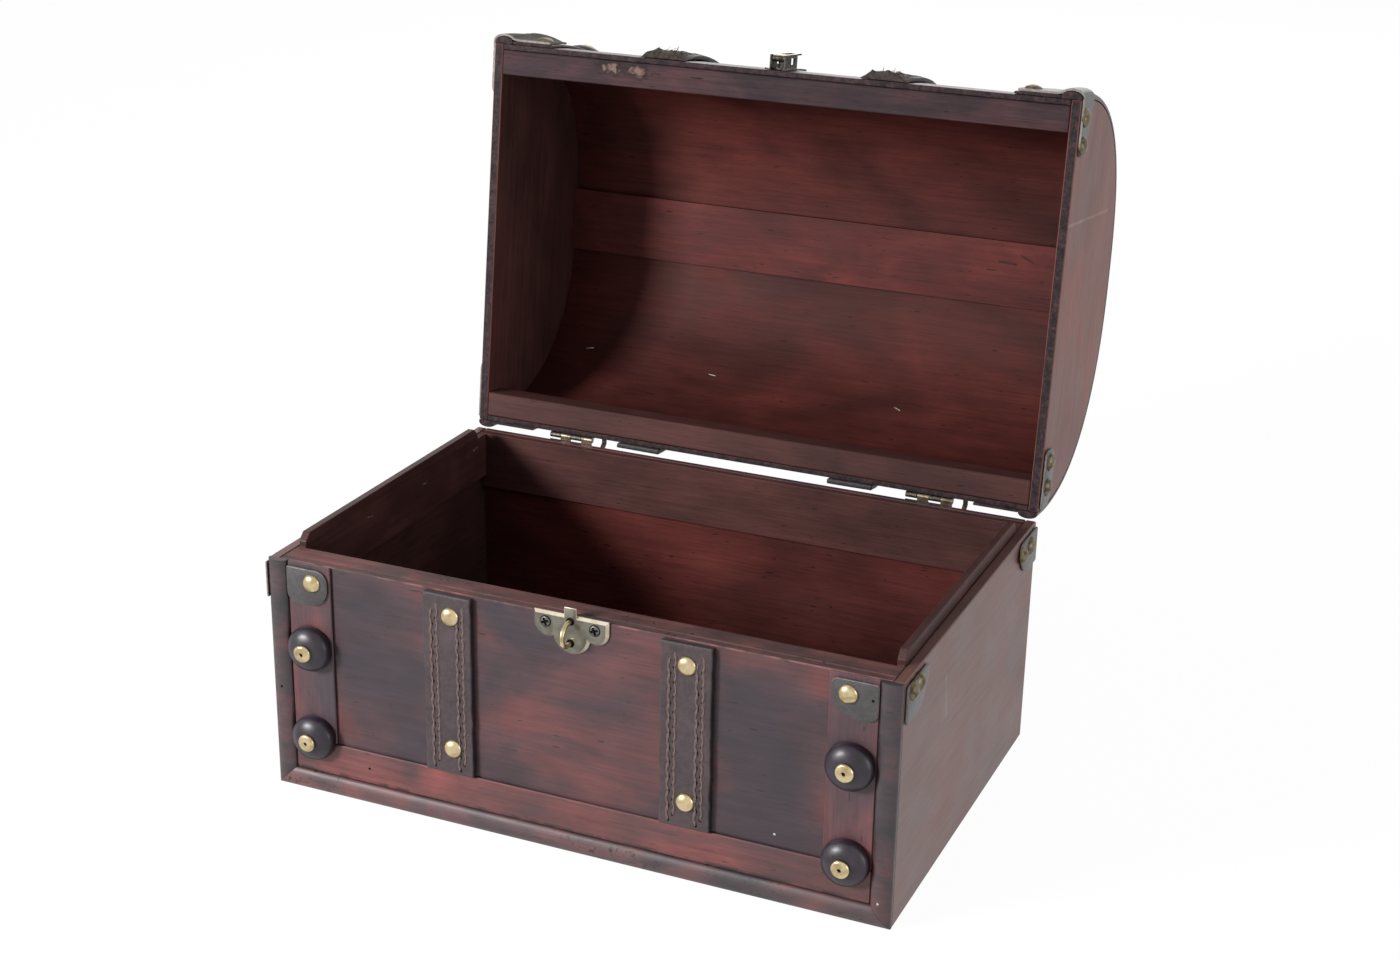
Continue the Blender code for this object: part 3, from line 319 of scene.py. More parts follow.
def stained_wood(name, tones, grain, seed, patch=46.0, streaks=0.45, gloss=0.6, roughness=0.44, extra=None):
    """Stain in three tones with streaks and pores along the grain. Extra says what else marks the board."""
    finish, tree, shader = new_finish(name, roughness, specular=gloss)
    extra = extra or {}
    turn = grain if isinstance(grain, tuple) else ALONG[grain]

    def drawn_out(stretch, size, detail, shift=(seed, seed * 0.7, seed * 0.3), warp=0.0):
        """Noise of a size in millimetres, drawn out along the grain."""
        return noise(tree, placed(tree, (stretch, 1.0, 1.0), turn, shift), size * MM, detail, warp)

    blots = drawn_out(0.55, patch, 3.0, warp=0.9)
    streak = drawn_out(0.04, 3.4, 5.0, warp=0.3)
    pores = drawn_out(0.07, 0.8, 2.0)
    cloud = drawn_out(0.6, patch * 0.3, 4.0, (seed * 2.0, 0.1, seed))
    hair = drawn_out(0.03, 1.3, 3.0, (seed * 0.5, seed, 0.3))
    flecks = drawn_out(0.16, 1.5, 1.0, (0.2, seed, seed * 0.4))
    if "rubbed" in extra:
        blots = mix(tree, 0.15, blots, rubbed_across(tree, extra["rubbed"]), "ADD")
    colour = ramp(tree, blots, list(zip(extra.get("tone_places", TONE_PLACES), tones)))
    for share, pattern, stops in ((streaks, streak, [(0.32, 0.45), (0.50, 0.95), (0.70, 1.35)]),
                                  (0.45, cloud, [(0.30, 0.60), (0.70, 1.30)]),
                                  (streaks, pores, [(0.34, 0.30), (0.44, 1.0)]),
                                  (0.20, hair, [(0.36, 0.50), (0.64, 1.50)])):
        colour = mix(tree, share, colour, ramp(tree, pattern, stops), "MULTIPLY")
    colour = mix(tree, ramp(tree, flecks, [(0.735, 0.0), (0.77, 0.85)]), colour, FLECK_DARK)
    if "pits" in extra:
        colour = mix(tree, pitted(tree, seed), colour, PIT_DARK)
    for place, size in extra.get("knots", ()):
        core, ring = knot(tree, place, size)
        colour = mix(tree, core, mix(tree, ring, colour, KNOT_RING), KNOT_CORE)
    for start, end, width, tone in extra.get("scratches", ()):
        colour = mix(tree, scratch(tree, start, end, width), colour, tone)
    for depth, height, width, tone in extra.get("worn", ()):
        colour = mix(tree, wear_line(tree, depth, height, width), colour, tone)
    tree.links.new(colour, shader.inputs["Base Color"])
    sheen = ranged(tree, cloud, target=(roughness - 0.09, roughness + 0.13))
    tree.links.new(sheen, shader.inputs["Roughness"])
    rough_skin(tree, shader, mix(tree, 0.5, streak, pores), 0.25 * MM, 0.5)
    return finish


print("wood finish ready")

# %% [markdown]
# ## Stain of the front
# The beads are the darkest, the bottom rail the reddest, and the rim and the bottom bead are full of pits;
# the bottom bead's tones are lighter than the corner beads' as painted light from above.
# Each tone is a dark, a middle and a rubbed colour, chosen by comparing renders with the photograph.
# The rubs are greys at distances in millimetres from the middle, where 1 is rubbed most.

# %% Front stains
FRONT = ((0.036, 0.024, 0.031), (0.064, 0.032, 0.037), (0.136, 0.043, 0.042))
STILE = ((0.050, 0.034, 0.042), (0.090, 0.044, 0.050), (0.168, 0.052, 0.052))
RAIL = ((0.074, 0.032, 0.034), (0.136, 0.042, 0.041), (0.212, 0.055, 0.048))
RIM = ((0.064, 0.040, 0.039), (0.120, 0.061, 0.058), (0.188, 0.077, 0.070))
BEAD = ((0.017, 0.013, 0.016), (0.040, 0.024, 0.028), (0.098, 0.036, 0.038))
# Lighter than the corner beads' tones, as painted light falling on the bottom bead from above.
LOW_BEAD_LIT = ((0.034, 0.024, 0.029), (0.082, 0.042, 0.046), (0.156, 0.055, 0.054))
PANEL_RUBS = ((0.0, 0.25), (40.0, 0.3), (54.0, 0.7), (78.0, 0.6), (98.0, 0.05), (122.0, 0.1), (140.0, 0.8))
STILE_RUBS = ((139.0, 1.0), (146.0, 0.6), (158.0, 0.6), (166.0, 1.0))
DARK_FIRST = (0.42, 0.57, 0.74)
BODY_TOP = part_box("front_board")[1][2]
FRONT_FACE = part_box("front_board")[0][1]
TOP_LINE = (FRONT_FACE, BODY_TOP, 1.0 * MM, (0.24, 0.105, 0.095))
FOOT_LINE = (FRONT_FACE - 1.5 * MM, 11.6 * MM, 2.4 * MM, (0.012, 0.007, 0.007))
front_stain = stained_wood("front_stain", FRONT, "x", 0.31, 52.0, 0.16, 0.5, extra={
    "rubbed": PANEL_RUBS, "worn": (TOP_LINE,), "tone_places": DARK_FIRST})
stile_stain = stained_wood("stile_stain", STILE, "z", 0.77, 40.0, 0.2, 0.5, extra={
    "rubbed": STILE_RUBS, "tone_places": DARK_FIRST})
rail_stain = stained_wood("rail_stain", RAIL, "x", 1.43, 34.0, 0.3, extra={"worn": (FOOT_LINE,)})
rim_stain = stained_wood("rim_stain", RIM, "x", 6.37, 20.0, 0.35, 0.25, 0.6, {"pits": True})
bead_stain = stained_wood("bead_stain", BEAD, "x", 5.03, 22.0, 0.25, 0.65, 0.42)
low_bead_stain_and_light = stained_wood("low_bead_stain_and_light", LOW_BEAD_LIT, "x", 5.57, 26.0, 0.25, 0.65, 0.50, {"pits": True})
print("six stains for the front")

# %% [markdown]
# ## Stain of the sides, the lid's ends and its rim
# The sides and the lid's ends are plain brown board, and on the right each of them has a scratch.
# The lid's front rail has two chipped knots.
# The lid stands open, so the grain of its ends is turned with it, and the sawn rim is nearly black.
# The places of the marks are in millimetres, on the chest as it stands.

# %% Side and lid stains
OPEN = math.radians(97.0)
OPEN_LEAN = OPEN - math.pi / 2
LID_END_GRAIN = (OPEN_LEAN, math.pi / 2, 0.0)
SIDE = ((0.110, 0.048, 0.040), (0.138, 0.056, 0.046), (0.165, 0.060, 0.049))
END = ((0.150, 0.058, 0.048), (0.192, 0.068, 0.055), (0.240, 0.076, 0.060))
LID_RAIL = ((0.028, 0.019, 0.023), (0.048, 0.028, 0.032), (0.080, 0.036, 0.039))
SAWN = ((0.014, 0.010, 0.012), (0.032, 0.021, 0.023), (0.070, 0.038, 0.040))
SIDE_SCRATCH = ((177.5, -46.0, 108.0), (177.5, -42.0, 84.0), 2.2 * MM, (0.22, 0.135, 0.115))
END_SCRATCH = ((177.5, 134.3, 298.4), (177.5, 226.7, 287.1), 1.3 * MM, (0.34, 0.20, 0.16))
RAIL_KNOTS = (((-100.2, 141.6, 357.6), (10.0, 9.0, 3.4)), ((-84.0, 141.6, 357.4), (7.0, 9.0, 4.4)))
side_stain = stained_wood("side_stain", SIDE, "y", 2.17, 70.0, 0.26, 0.62, extra={
    "scratches": (SIDE_SCRATCH,)})
end_stain = stained_wood("end_stain", END, LID_END_GRAIN, 2.63, 60.0, 0.28, 0.32, 0.46, {
    "scratches": (END_SCRATCH,)})
lid_rail_stain = stained_wood("lid_rail_stain", LID_RAIL, "x", 6.59, 30.0, 0.35, 0.12, 0.6, {
    "knots": RAIL_KNOTS})
sawn_edge = stained_wood("sawn_edge", SAWN, "y", 7.11, 3.0, 0.2, 0.2, 0.72)
print("four stains for the sides and the lid's rim")

# %% [markdown]
# ## Stain of the inside
# Inside, the stain is redder and was never polished, so it has hardly any gloss.
# The rails took up more brown, the inner faces of the side walls are painted darker as the shade that falls
# on them, and the crown batten has two dents.
# One finish for the whole inside would be quicker, but then the boards could not be told apart.

# %% Inside stains
INSIDE = ((0.048, 0.014, 0.012), (0.074, 0.019, 0.016), (0.106, 0.025, 0.020))
END_IN = ((0.064, 0.029, 0.026), (0.092, 0.040, 0.036), (0.118, 0.046, 0.042))
BROWN = ((0.050, 0.020, 0.018), (0.072, 0.028, 0.025), (0.094, 0.034, 0.030))
BATTEN = ((0.070, 0.017, 0.015), (0.106, 0.023, 0.020), (0.156, 0.033, 0.028))
WALL = ((0.072, 0.020, 0.018), (0.108, 0.027, 0.023), (0.140, 0.033, 0.028))
# The side walls' inner tones are darker than the other walls' as painted shade.
SIDE_WALL_SHADE = ((0.036, 0.018, 0.017), (0.055, 0.025, 0.022), (0.074, 0.031, 0.027))
DENT_DARK = (0.010, 0.005, 0.005)
BATTEN_DENTS = (((113.0, 234.4, 246.3), (123.0, 234.3, 245.7), 1.1 * MM, DENT_DARK),
                ((126.0, 235.0, 251.0), (133.0, 234.6, 248.1), 1.1 * MM, DENT_DARK))
inside_stain = stained_wood("inside_stain", INSIDE, "x", 3.83, 60.0, 0.20, 0.12, 0.55)
inner_end_stain = stained_wood("inner_end_stain", END_IN, LID_END_GRAIN, 3.71, 70.0, 0.3, 0.12, 0.6)
inner_rail_stain = stained_wood("inner_rail_stain", BROWN, "x", 3.97, 60.0, 0.3, 0.2, 0.55)
lip_stain = stained_wood("lip_stain", BROWN, "y", 4.61, 40.0, 0.4, 0.3, 0.5)
batten_stain = stained_wood("batten_stain", BATTEN, "x", 4.11, 40.0, 0.2, 0.16, 0.55, {
    "scratches": BATTEN_DENTS})
wall_stain = stained_wood("wall_stain", WALL, "x", 3.29, 70.0, 0.24, 0.1, 0.55)
side_wall_painted_shade = stained_wood("side_wall_painted_shade", SIDE_WALL_SHADE, "y", 3.47, 70.0, 0.24, 0.1, 0.6)
print("seven stains for the inside")

# %% [markdown]
# ## The boards keep their CAD shape
# Flat boards, battens and rails are already right in the CAD model, down to their eased arrises.
# Modelling them again would only risk moving them, so each one just gets its stain.

# %% Stain the boards
def stain(finish, *names):
    """Gives CAD nodes a finish."""
    for name in names:
        nodes[name].data.materials.clear()
        nodes[name].data.materials.append(finish)


def stain_side(finish, towards, *names):
    """Gives another finish to the faces of CAD nodes that look in one direction."""
    for name in names:
        board = nodes[name].data
        board.materials.append(finish)
        for face in board.polygons:
            if face.normal.dot(Vector(towards)) > 0.8:
                face.material_index = len(board.materials) - 1


LEFT, RIGHT = (-1.0, 0.0, 0.0), (1.0, 0.0, 0.0)
FORWARD, BACK, UP = (0.0, -1.0, 0.0), (0.0, 1.0, 0.0), (0.0, 0.0, 1.0)
RIM_WAY = (0.0, -math.cos(OPEN_LEAN), math.sin(OPEN_LEAN))
for finish, names in (
        (front_stain, ("front_board", "back_board")), (rail_stain, ("front_bottom_rail",)),
        (stile_stain, ("left_front_stile", "right_front_stile")),
        (side_stain, ("left_side_board", "right_side_board")),
        (end_stain, ("left_lid_end", "right_lid_end")), (wall_stain, ("bottom_board",)),
        (inner_rail_stain, ("back_top_rail", "lid_back_rail")), (batten_stain, ("lid_crown_batten",)),
        (rim_stain, ("front_top_batten",)), (lid_rail_stain, ("lid_front_rail",)),
        (lip_stain, ("left_lip_board", "right_lip_board"))):
    stain(finish, *names)
for finish, towards, name in (
        (rim_stain, UP, "front_board"), (wall_stain, BACK, "front_board"),
        (wall_stain, FORWARD, "back_board"),
        (side_wall_painted_shade, RIGHT, "left_side_board"), (side_wall_painted_shade, LEFT, "right_side_board"),
        (inner_end_stain, RIGHT, "left_lid_end"), (inner_end_stain, LEFT, "right_lid_end"),
        (sawn_edge, RIM_WAY, "left_lid_end"), (sawn_edge, RIM_WAY, "right_lid_end")):
    stain_side(finish, towards, name)
print("boards stained")

# %% [markdown]
# ## Leather
# The straps are thin belt leather, black once and now grey where it creases; the corner patches are blacker.
# The lid straps are torn at the front, and the dry end shows brown.
# Leather could be sculpted, but its pebbles are finer than the mesh, so a bump pattern stands for them.

# %% Leather finishes
STRAP_DARK, STRAP_PALE = (0.033, 0.024, 0.027), (0.070, 0.048, 0.052)
TORN_DARK, TORN_PALE = (0.020, 0.014, 0.011), (0.060, 0.043, 0.034)
TORN_FROM = 205.0 * MM


def leather(name, dark, pale, roughness, pebble=1.1, gloss=0.4, torn_from=None):
    """Grained leather: pebbles between fine creases, paler where handled, brown and dry at a torn end."""
    finish, tree, shader = new_finish(name, roughness, specular=gloss)
    where = placed(tree)
    cells = add(tree, "TexVoronoi", {"Vector": where, "Scale": 1.0 / (pebble * MM)})
    handled = noise(tree, where, 16.0 * MM, 4.0, 0.4)
    fine = noise(tree, where, 2.2 * MM, 3.0)
    colour = ramp(tree, mix(tree, 0.45, handled, fine), [(0.34, dark), (0.62, pale)])
    if torn_from:
        lift = add(tree, "VectorMath", {0: where, 1: (0.0, -1.0, 1.0)}, operation="DOT_PRODUCT")
        ragged = worked(tree, "MULTIPLY_ADD", handled, 20.0 * MM, lift.outputs["Value"])
        torn = ranged(tree, ragged, (torn_from + 6.0 * MM, torn_from + 26.0 * MM))
        colour = mix(tree, torn, colour, ramp(tree, fine, [(0.38, TORN_DARK), (0.62, TORN_PALE)]))
        tree.links.new(ranged(tree, torn, target=(roughness, 0.85)), shader.inputs["Roughness"])
    tree.links.new(colour, shader.inputs["Base Color"])
    pebbles = ramp(tree, cells.outputs["Distance"], [(0.0, 1.0), (0.75, 0.0)])
    rough_skin(tree, shader, mix(tree, 0.55, pebbles, fine), 0.28 * MM, 0.55)
    return finish


strap_leather = leather("strap_leather", STRAP_DARK, STRAP_PALE, 0.54)
lid_strap_leather = leather("lid_strap_leather", STRAP_DARK, STRAP_PALE, 0.54, torn_from=TORN_FROM)
patch_leather = leather("patch_leather", (0.030, 0.027, 0.028), (0.066, 0.060, 0.060), 0.42, 0.9, 0.6)
loose_leather = leather("loose_leather", (0.024, 0.018, 0.014), (0.070, 0.054, 0.044), 0.66, 0.9, 0.16)
# The patches' cut edges are pale, partly as the leather's own cut edge and partly as a painted highlight.
cut_edge_and_highlight = leather("cut_edge_and_highlight", (0.16, 0.145, 0.135), (0.34, 0.31, 0.29), 0.7)
# The straps' cut edges are painted near black, as the shade along them.
edge_painted_shade = leather("edge_painted_shade", (0.010, 0.009, 0.010), (0.022, 0.020, 0.021), 0.55)
print("six kinds of leather")

# %% [markdown]
# ## Lacquer, thread and the painted shade of holes
# The knobs are turned wood under black lacquer, dulled by a haze of dust.
# The thread and the holes are too small for a pattern, so each has one plain colour; the black of holes,
# slots and dimples is painted shade, and black pins share it.

# %% Lacquer, thread and holes
def plain_finish(name, colour, roughness, gloss):
    """A finish of one colour."""
    finish, tree, shader = new_finish(name, roughness, specular=gloss)
    shader.inputs["Base Color"].default_value = (*colour, 1.0)
    return finish


# Black painted shade for needle holes, slots, dimples and holes round staples and screws; the black pin heads
# use it too.
hole_shade_and_pin_black = plain_finish("hole_shade_and_pin_black", (0.006, 0.005, 0.005), 0.9, 0.1)
thread_brown = plain_finish("thread_brown", (0.150, 0.102, 0.092), 0.75, 0.3)
LACQUER_DARK, LACQUER_DUSTY = (0.010, 0.006, 0.011), (0.030, 0.019, 0.032)
black_lacquer, tree, shader = new_finish("black_lacquer", 0.44, specular=0.5)
dust = noise(tree, placed(tree), 9.0 * MM, 5.0, 0.6)
dusty = ramp(tree, dust, [(0.35, LACQUER_DARK), (0.70, LACQUER_DUSTY)])
tree.links.new(dusty, shader.inputs["Base Color"])
tree.links.new(ranged(tree, dust, target=(0.28, 0.46)), shader.inputs["Roughness"])
rough_skin(tree, shader, noise(tree, placed(tree), 5.0 * MM, 3.0), 0.3 * MM, 0.35)
print("lacquer, thread and hole finishes")

# %% [markdown]
# ## Brass and steel
# Tacks, catch, hasp and hinges are plated steel, bright where they are touched and dull where they tarnish.
# A single shiny brass would look new, so a noise moves both the colour and the roughness between two states.
# Hinges, stops and hasp keep their CAD shape and only take their finish; the lid's hinge leaves and the stops
# are painted dark as shade, and so are the hasp's sides.

# %% Brass and steel
def plated(name, bright, dull, roughness, size=3.0):
    """Plated metal with clouds of tarnish and small scratches."""
    finish, tree, shader = new_finish(name, roughness, metallic=1.0)
    tarnish = noise(tree, placed(tree), size * MM, 5.0, 0.4)
    tree.links.new(ramp(tree, tarnish, [(0.36, dull), (0.58, bright)]), shader.inputs["Base Color"])
    sheen = ranged(tree, tarnish, target=(roughness + 0.15, roughness - 0.08))
    tree.links.new(sheen, shader.inputs["Roughness"])
    rough_skin(tree, shader, noise(tree, placed(tree), 1.2 * MM, 3.0), 0.05 * MM, 0.12)
    return finish


tack_brass = plated("tack_brass", (0.64, 0.52, 0.31), (0.42, 0.32, 0.17), 0.24, 5.0)
dull_brass = plated("dull_brass", (0.17, 0.14, 0.09), (0.075, 0.058, 0.036), 0.40, 3.0)
# A paler brass painted as highlights on the catch's bevels and edges, and on the hasp's top.
brass_painted_highlight = plated("brass_painted_highlight", (0.62, 0.56, 0.44), (0.44, 0.39, 0.29), 0.34, 6.0)
catch_field = plated("catch_field", (0.205, 0.195, 0.160), (0.135, 0.126, 0.100), 0.40, 6.0)
# Painted shade for the hasp's sides and back.
hasp_painted_shade = plated("hasp_painted_shade", (0.060, 0.054, 0.046), (0.018, 0.016, 0.014), 0.48, 2.0)
screw_steel = plated("screw_steel", (0.170, 0.160, 0.155), (0.085, 0.080, 0.078), 0.35, 2.0)
staple_gold = plated("staple_gold", (0.66, 0.55, 0.34), (0.42, 0.33, 0.18), 0.24, 9.0)
hinge_brass = plated("hinge_brass", (0.22, 0.18, 0.13), (0.09, 0.072, 0.05), 0.36, 4.0)
# Painted shade for the lid's hinge leaves and the stops.
hinge_painted_shade = plated("hinge_painted_shade", (0.10, 0.085, 0.07), (0.035, 0.03, 0.025), 0.42, 2.0)
bright_wire = plated("bright_wire", (0.66, 0.64, 0.62), (0.40, 0.38, 0.36), 0.30)
for side in ("left", "right"):
    stain(hinge_brass, side + "_hinge_body_leaf", side + "_hinge_pin")
    # The lid's hinge leaves and the stops are painted dark, as the shade they stand in.
    stain(hinge_painted_shade, side + "_hinge_lid_leaf", side + "_lid_stop")
# The hasp is painted dark as shade, and its upward faces are painted light with the catch's highlight brass.
stain(hasp_painted_shade, "hasp_plate", "hasp_pin", "hasp_flap")
stain_side(brass_painted_highlight, UP, "hasp_plate", "hasp_flap")
print("ten metals")

# %% [markdown]
# ## Ways of working: blanks
# Each new piece is made flat on the bench, beside the origin, in three measures: across, along and height.
# It starts as a blank, which could be drawn point by point, but a primitive at its size is surer.
# Operators act on all that is selected, so the bench is cleared before every one.

# %% Blanks
def bare_bench():
    """Leaves nothing selected, so that an operator touches the new piece alone."""
    bpy.ops.object.select_all(action="DESELECT")


def take(piece):
    """Selects one piece and makes it active."""
    bare_bench()
    piece.select_set(True)
    bpy.context.view_layer.objects.active = piece


def name_it(name):
    """Names the piece just added, and puts its place, turn and size into its mesh."""
    piece = bpy.context.object
    piece.name = name
    piece.data.name = name
    bpy.ops.object.transform_apply(location=True, rotation=True, scale=True)
    return piece


def block(name, low, high):
    """A box between two corners."""
    bare_bench()
    bpy.ops.mesh.primitive_cube_add(size=1.0, location=(Vector(low) + Vector(high)) / 2)
    bpy.context.object.scale = Vector(high) - Vector(low)
    return name_it(name)


def rod(name, radius, depth, place=(0.0, 0.0, 0.0), turn=(0.0, 0.0, 0.0), sides=32):
    """A round bar about its own middle."""
    bare_bench()
    bpy.ops.mesh.primitive_cylinder_add(vertices=sides, radius=radius, depth=depth,
                                        location=place, rotation=turn)
    return name_it(name)


def sheet(name, low, high, across, along):
    """A flat grid on the bench."""
    bare_bench()
    middle = ((low[0] + high[0]) / 2, (low[1] + high[1]) / 2, 0.0)
    bpy.ops.mesh.primitive_grid_add(x_subdivisions=across, y_subdivisions=along, size=1.0, location=middle)
    bpy.context.object.scale = (high[0] - low[0], high[1] - low[1], 1.0)
    return name_it(name)


print("blanks ready")

# %% [markdown]
# ## Ways of working: shaping
# A blank is sawn, pulled, rounded and smoothed, as wood, leather and sheet metal are.
# By hand one would click on faces and edges; here a rule picks them by their place and direction.

# %% Shaping
ORIGIN = (0.0, 0.0, 0.0)


def pick(piece, kind, rule):
    """Opens the piece in edit mode with the parts selected that the rule names by place and direction."""
    take(piece)
    bpy.ops.object.mode_set(mode="EDIT")
    bpy.ops.mesh.select_mode(type=kind)
    bpy.ops.mesh.select_all(action="DESELECT")
    bpy.ops.object.mode_set(mode="OBJECT")
    mesh = piece.data
    for part in {"VERT": mesh.vertices, "EDGE": mesh.edges, "FACE": mesh.polygons}[kind]:
        if kind == "EDGE":
            ends = [mesh.vertices[index].co for index in part.vertices]
            part.select = rule((ends[0] + ends[1]) / 2, ends[1] - ends[0])
        else:
            place = part.co if kind == "VERT" else part.center
            part.select = rule(place, part.normal)
    bpy.ops.object.mode_set(mode="EDIT")


def done():
    """Back from edit mode."""
    bpy.ops.object.mode_set(mode="OBJECT")


def all_of(place, way):
    """The rule that names every part."""
    return True


def sawn(piece, place, keep):
    """Saws a piece with a plane and keeps the side that the arrow points to."""
    pick(piece, "FACE", all_of)
    bpy.ops.mesh.bisect(plane_co=place, plane_no=keep, clear_inner=True, use_fill=True)
    done()
    return piece


def pulled(piece, rule, move):
    """Pulls the faces that the rule names, with new walls behind them."""
    pick(piece, "FACE", rule)
    bpy.ops.mesh.extrude_region_move(TRANSFORM_OT_translate={"value": move})
    done()
    return piece


def rounded(piece, rule, width, segments):
    """Rounds the edges that the rule names."""
    pick(piece, "EDGE", rule)
    bpy.ops.mesh.bevel(offset=width, segments=segments)
    done()
    return piece


def shape_with(piece, kind, **settings):
    """Adds a modifier, sets it and applies it."""
    take(piece)
    step = piece.modifiers.new(kind.lower(), kind)
    for key, value in settings.items():
        setattr(step, key, value)
    bpy.ops.object.modifier_apply(modifier=step.name)
    return piece


def eased(piece, width, segments=2):
    """Takes the sharpness off every edge of a piece."""
    sharp = math.radians(50)
    return shape_with(piece, "BEVEL", width=width, segments=segments, limit_method="ANGLE", angle_limit=sharp)


def smooth(piece, angle=40.0):
    """Rounds the shading across shallow edges."""
    take(piece)
    bpy.ops.object.shade_smooth_by_angle(angle=math.radians(angle))
    return piece


def face_out(piece):
    """Merges doubles and turns every face outwards."""
    pick(piece, "FACE", all_of)
    bpy.ops.mesh.remove_doubles(threshold=0.01 * MM)
    bpy.ops.mesh.select_all(action="SELECT")
    bpy.ops.mesh.normals_make_consistent(inside=False)
    done()
    return piece


print("shaping tools ready")

# %% [markdown]
# ## Ways of working: putting on
# A shaped piece is laid on the chest by a rule that says where a point of the bench goes.
# So the same strap can go up the flat front or over the round lid without being modelled twice.
# Then it gets its finishes, and is fixed to the body that carries it.

# %% Laying, copying and fixing
def lay(piece, rule):
    """Takes every point from the bench to its place on the chest."""
    points = np.empty(len(piece.data.vertices) * 3)
    piece.data.vertices.foreach_get("co", points)
    points = np.column_stack(rule(*points.reshape(-1, 3).T))
    piece.data.vertices.foreach_set("co", points.ravel())
    piece.data.update()
    return piece


def spare(piece, name):
    """A copy with its own mesh."""
    twin = piece.copy()
    twin.data = piece.data.copy()
    twin.name = name
    twin.data.name = name
    bpy.context.scene.collection.objects.link(twin)
    return twin


def joined(name, *pieces):
    """Several loose pieces made one object."""
    take(pieces[0])
    for piece in pieces[1:]:
        piece.select_set(True)
    bpy.ops.object.join()
    pieces[0].name = name
    pieces[0].data.name = name
    return pieces[0]


def wear(piece, *finishes):
    """Gives a piece its finishes, in the order of its slots."""
    piece.data.materials.clear()
    for finish in finishes:
        piece.data.materials.append(finish)
    return piece


def second_finish(piece, rule):
    """Gives the second finish to the faces that the rule names, and the first one to the rest."""
    for face in piece.data.polygons:
        face.material_index = int(rule(face))
    return piece


def fix(piece, body, slot, *stands_for):
    """Fixes a finished piece to its body and hides the CAD nodes that it stands for."""
    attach(piece, body)
    if stands_for:
        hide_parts(*stands_for)
    return piece


print("bench ready")

# %% [markdown]
# ## Where things lie
# The front is a plane, the sides are planes, and the lid is a rounded arch.
# A bending modifier could give a circle, but this arch has a fuller shoulder at the front than at the back.
# So its line is written as the same formula that the CAD model uses, and walked along by length.

# %% Line of the arch
ARCH_FOOT, ARCH_RISE = -1.1 * MM, 114.0 * MM
ARCH_MIDDLE, ARCH_HALF = -116.35 * MM, 114.35 * MM
FRONT_POWER, BACK_POWER = 2.65, 2.35
turn = np.linspace(math.pi, 0.0, 4001)
power = np.where(np.cos(turn) < 0.0, FRONT_POWER, BACK_POWER)
arch_y = ARCH_MIDDLE + np.sign(np.cos(turn)) * np.abs(np.cos(turn)) ** (2.0 / power) * ARCH_HALF
arch_z = ARCH_FOOT + np.abs(np.sin(turn)) ** (2.0 / power) * ARCH_RISE
arch_s = np.concatenate(([0.0], np.cumsum(np.hypot(np.diff(arch_y), np.diff(arch_z)))))
ARCH_LENGTH = arch_s[-1]


def along_arch(s):
    """Point and outward direction on the arch, with straight lines on past both rims."""
    inside = np.clip(s, 0.0, ARCH_LENGTH)
    y, z = np.interp(inside, arch_s, arch_y), np.interp(inside, arch_s, arch_z)
    reach = 0.4 * MM
    before, after = np.clip(inside - reach, 0.0, ARCH_LENGTH), np.clip(inside + reach, 0.0, ARCH_LENGTH)
    step_y = np.interp(after, arch_s, arch_y) - np.interp(before, arch_s, arch_y)
    step_z = np.interp(after, arch_s, arch_z) - np.interp(before, arch_s, arch_z)
    size = np.hypot(step_y, step_z)
    step_y, step_z = step_y / size, step_z / size
    past = s - inside
    return y + past * step_y, z + past * step_z, -step_z, step_y


print("arch is", round(ARCH_LENGTH / MM, 1), "mm long")

# %% Rules from the bench to the chest
HINGE_Y, HINGE_Z = 115.5 * MM, 136.5 * MM
FRONT_SEAT = -114.3 * MM
OPEN_COS, OPEN_SIN = math.cos(OPEN), math.sin(OPEN)


def open_lid(x, y, z):
    """From the shut lid, measured from the hinge, to the lid as it stands open."""
    return (x, HINGE_Y + y * OPEN_COS + z * OPEN_SIN, HINGE_Z - y * OPEN_SIN + z * OPEN_COS)


def over_lid(x, s, height):
    """Across, along the arch from the front rim, and out from the skin."""
    y, z, out_y, out_z = along_arch(s)
    return open_lid(x, y + height * out_y, z + height * out_z)


def on_front(x, z, height):
    """Across, up the front, and out from the trim's back."""
    return (x, FRONT_SEAT - height, z)


def on_side(sign):
    """Rule for one side: along the depth, up, and out from the board."""
    return lambda y, z, height: (sign * (HALF_WIDTH + height), y, z)


def on_lid_end(sign):
    """Rule for one end of the open lid: along its depth, up, and out from the board."""
    return lambda y, z, height: open_lid(sign * (HALF_WIDTH + height), y, z)


print("five rules")

# %% [markdown]
# ## Half-round beads
# A half-round moulding covers the front corners and the foot, mitred where they meet.
# A curve with a half-round profile would do too, but its mitres would still have to be cut.
# So it is made as a woodworker would: a round bar, flattened, sawn in half, and sawn again at 45 degrees.

# %% Beads on the box
SIDES = (("left", -1.0), ("right", 1.0))
BEAD_WALL = 1.2 * MM


def half_round(name, width, height, length):
    """A half-round bar along the bench's length, lying on its sawn face, with a short wall at each side."""
    bar = rod(name, width / 2, length, (0.0, length / 2, 0.0), (math.pi / 2, 0.0, 0.0), 40)
    pick(bar, "VERT", all_of)
    flatter = (height - BEAD_WALL) * 2 / width
    bpy.ops.transform.resize(value=(1.0, 1.0, flatter), center_override=ORIGIN)
    done()
    sawn(bar, ORIGIN, UP)
    pulled(bar, lambda place, normal: normal.z < -0.9, (0.0, 0.0, -BEAD_WALL))
    return lay(bar, lambda x, y, z: (x, y, z + BEAD_WALL))


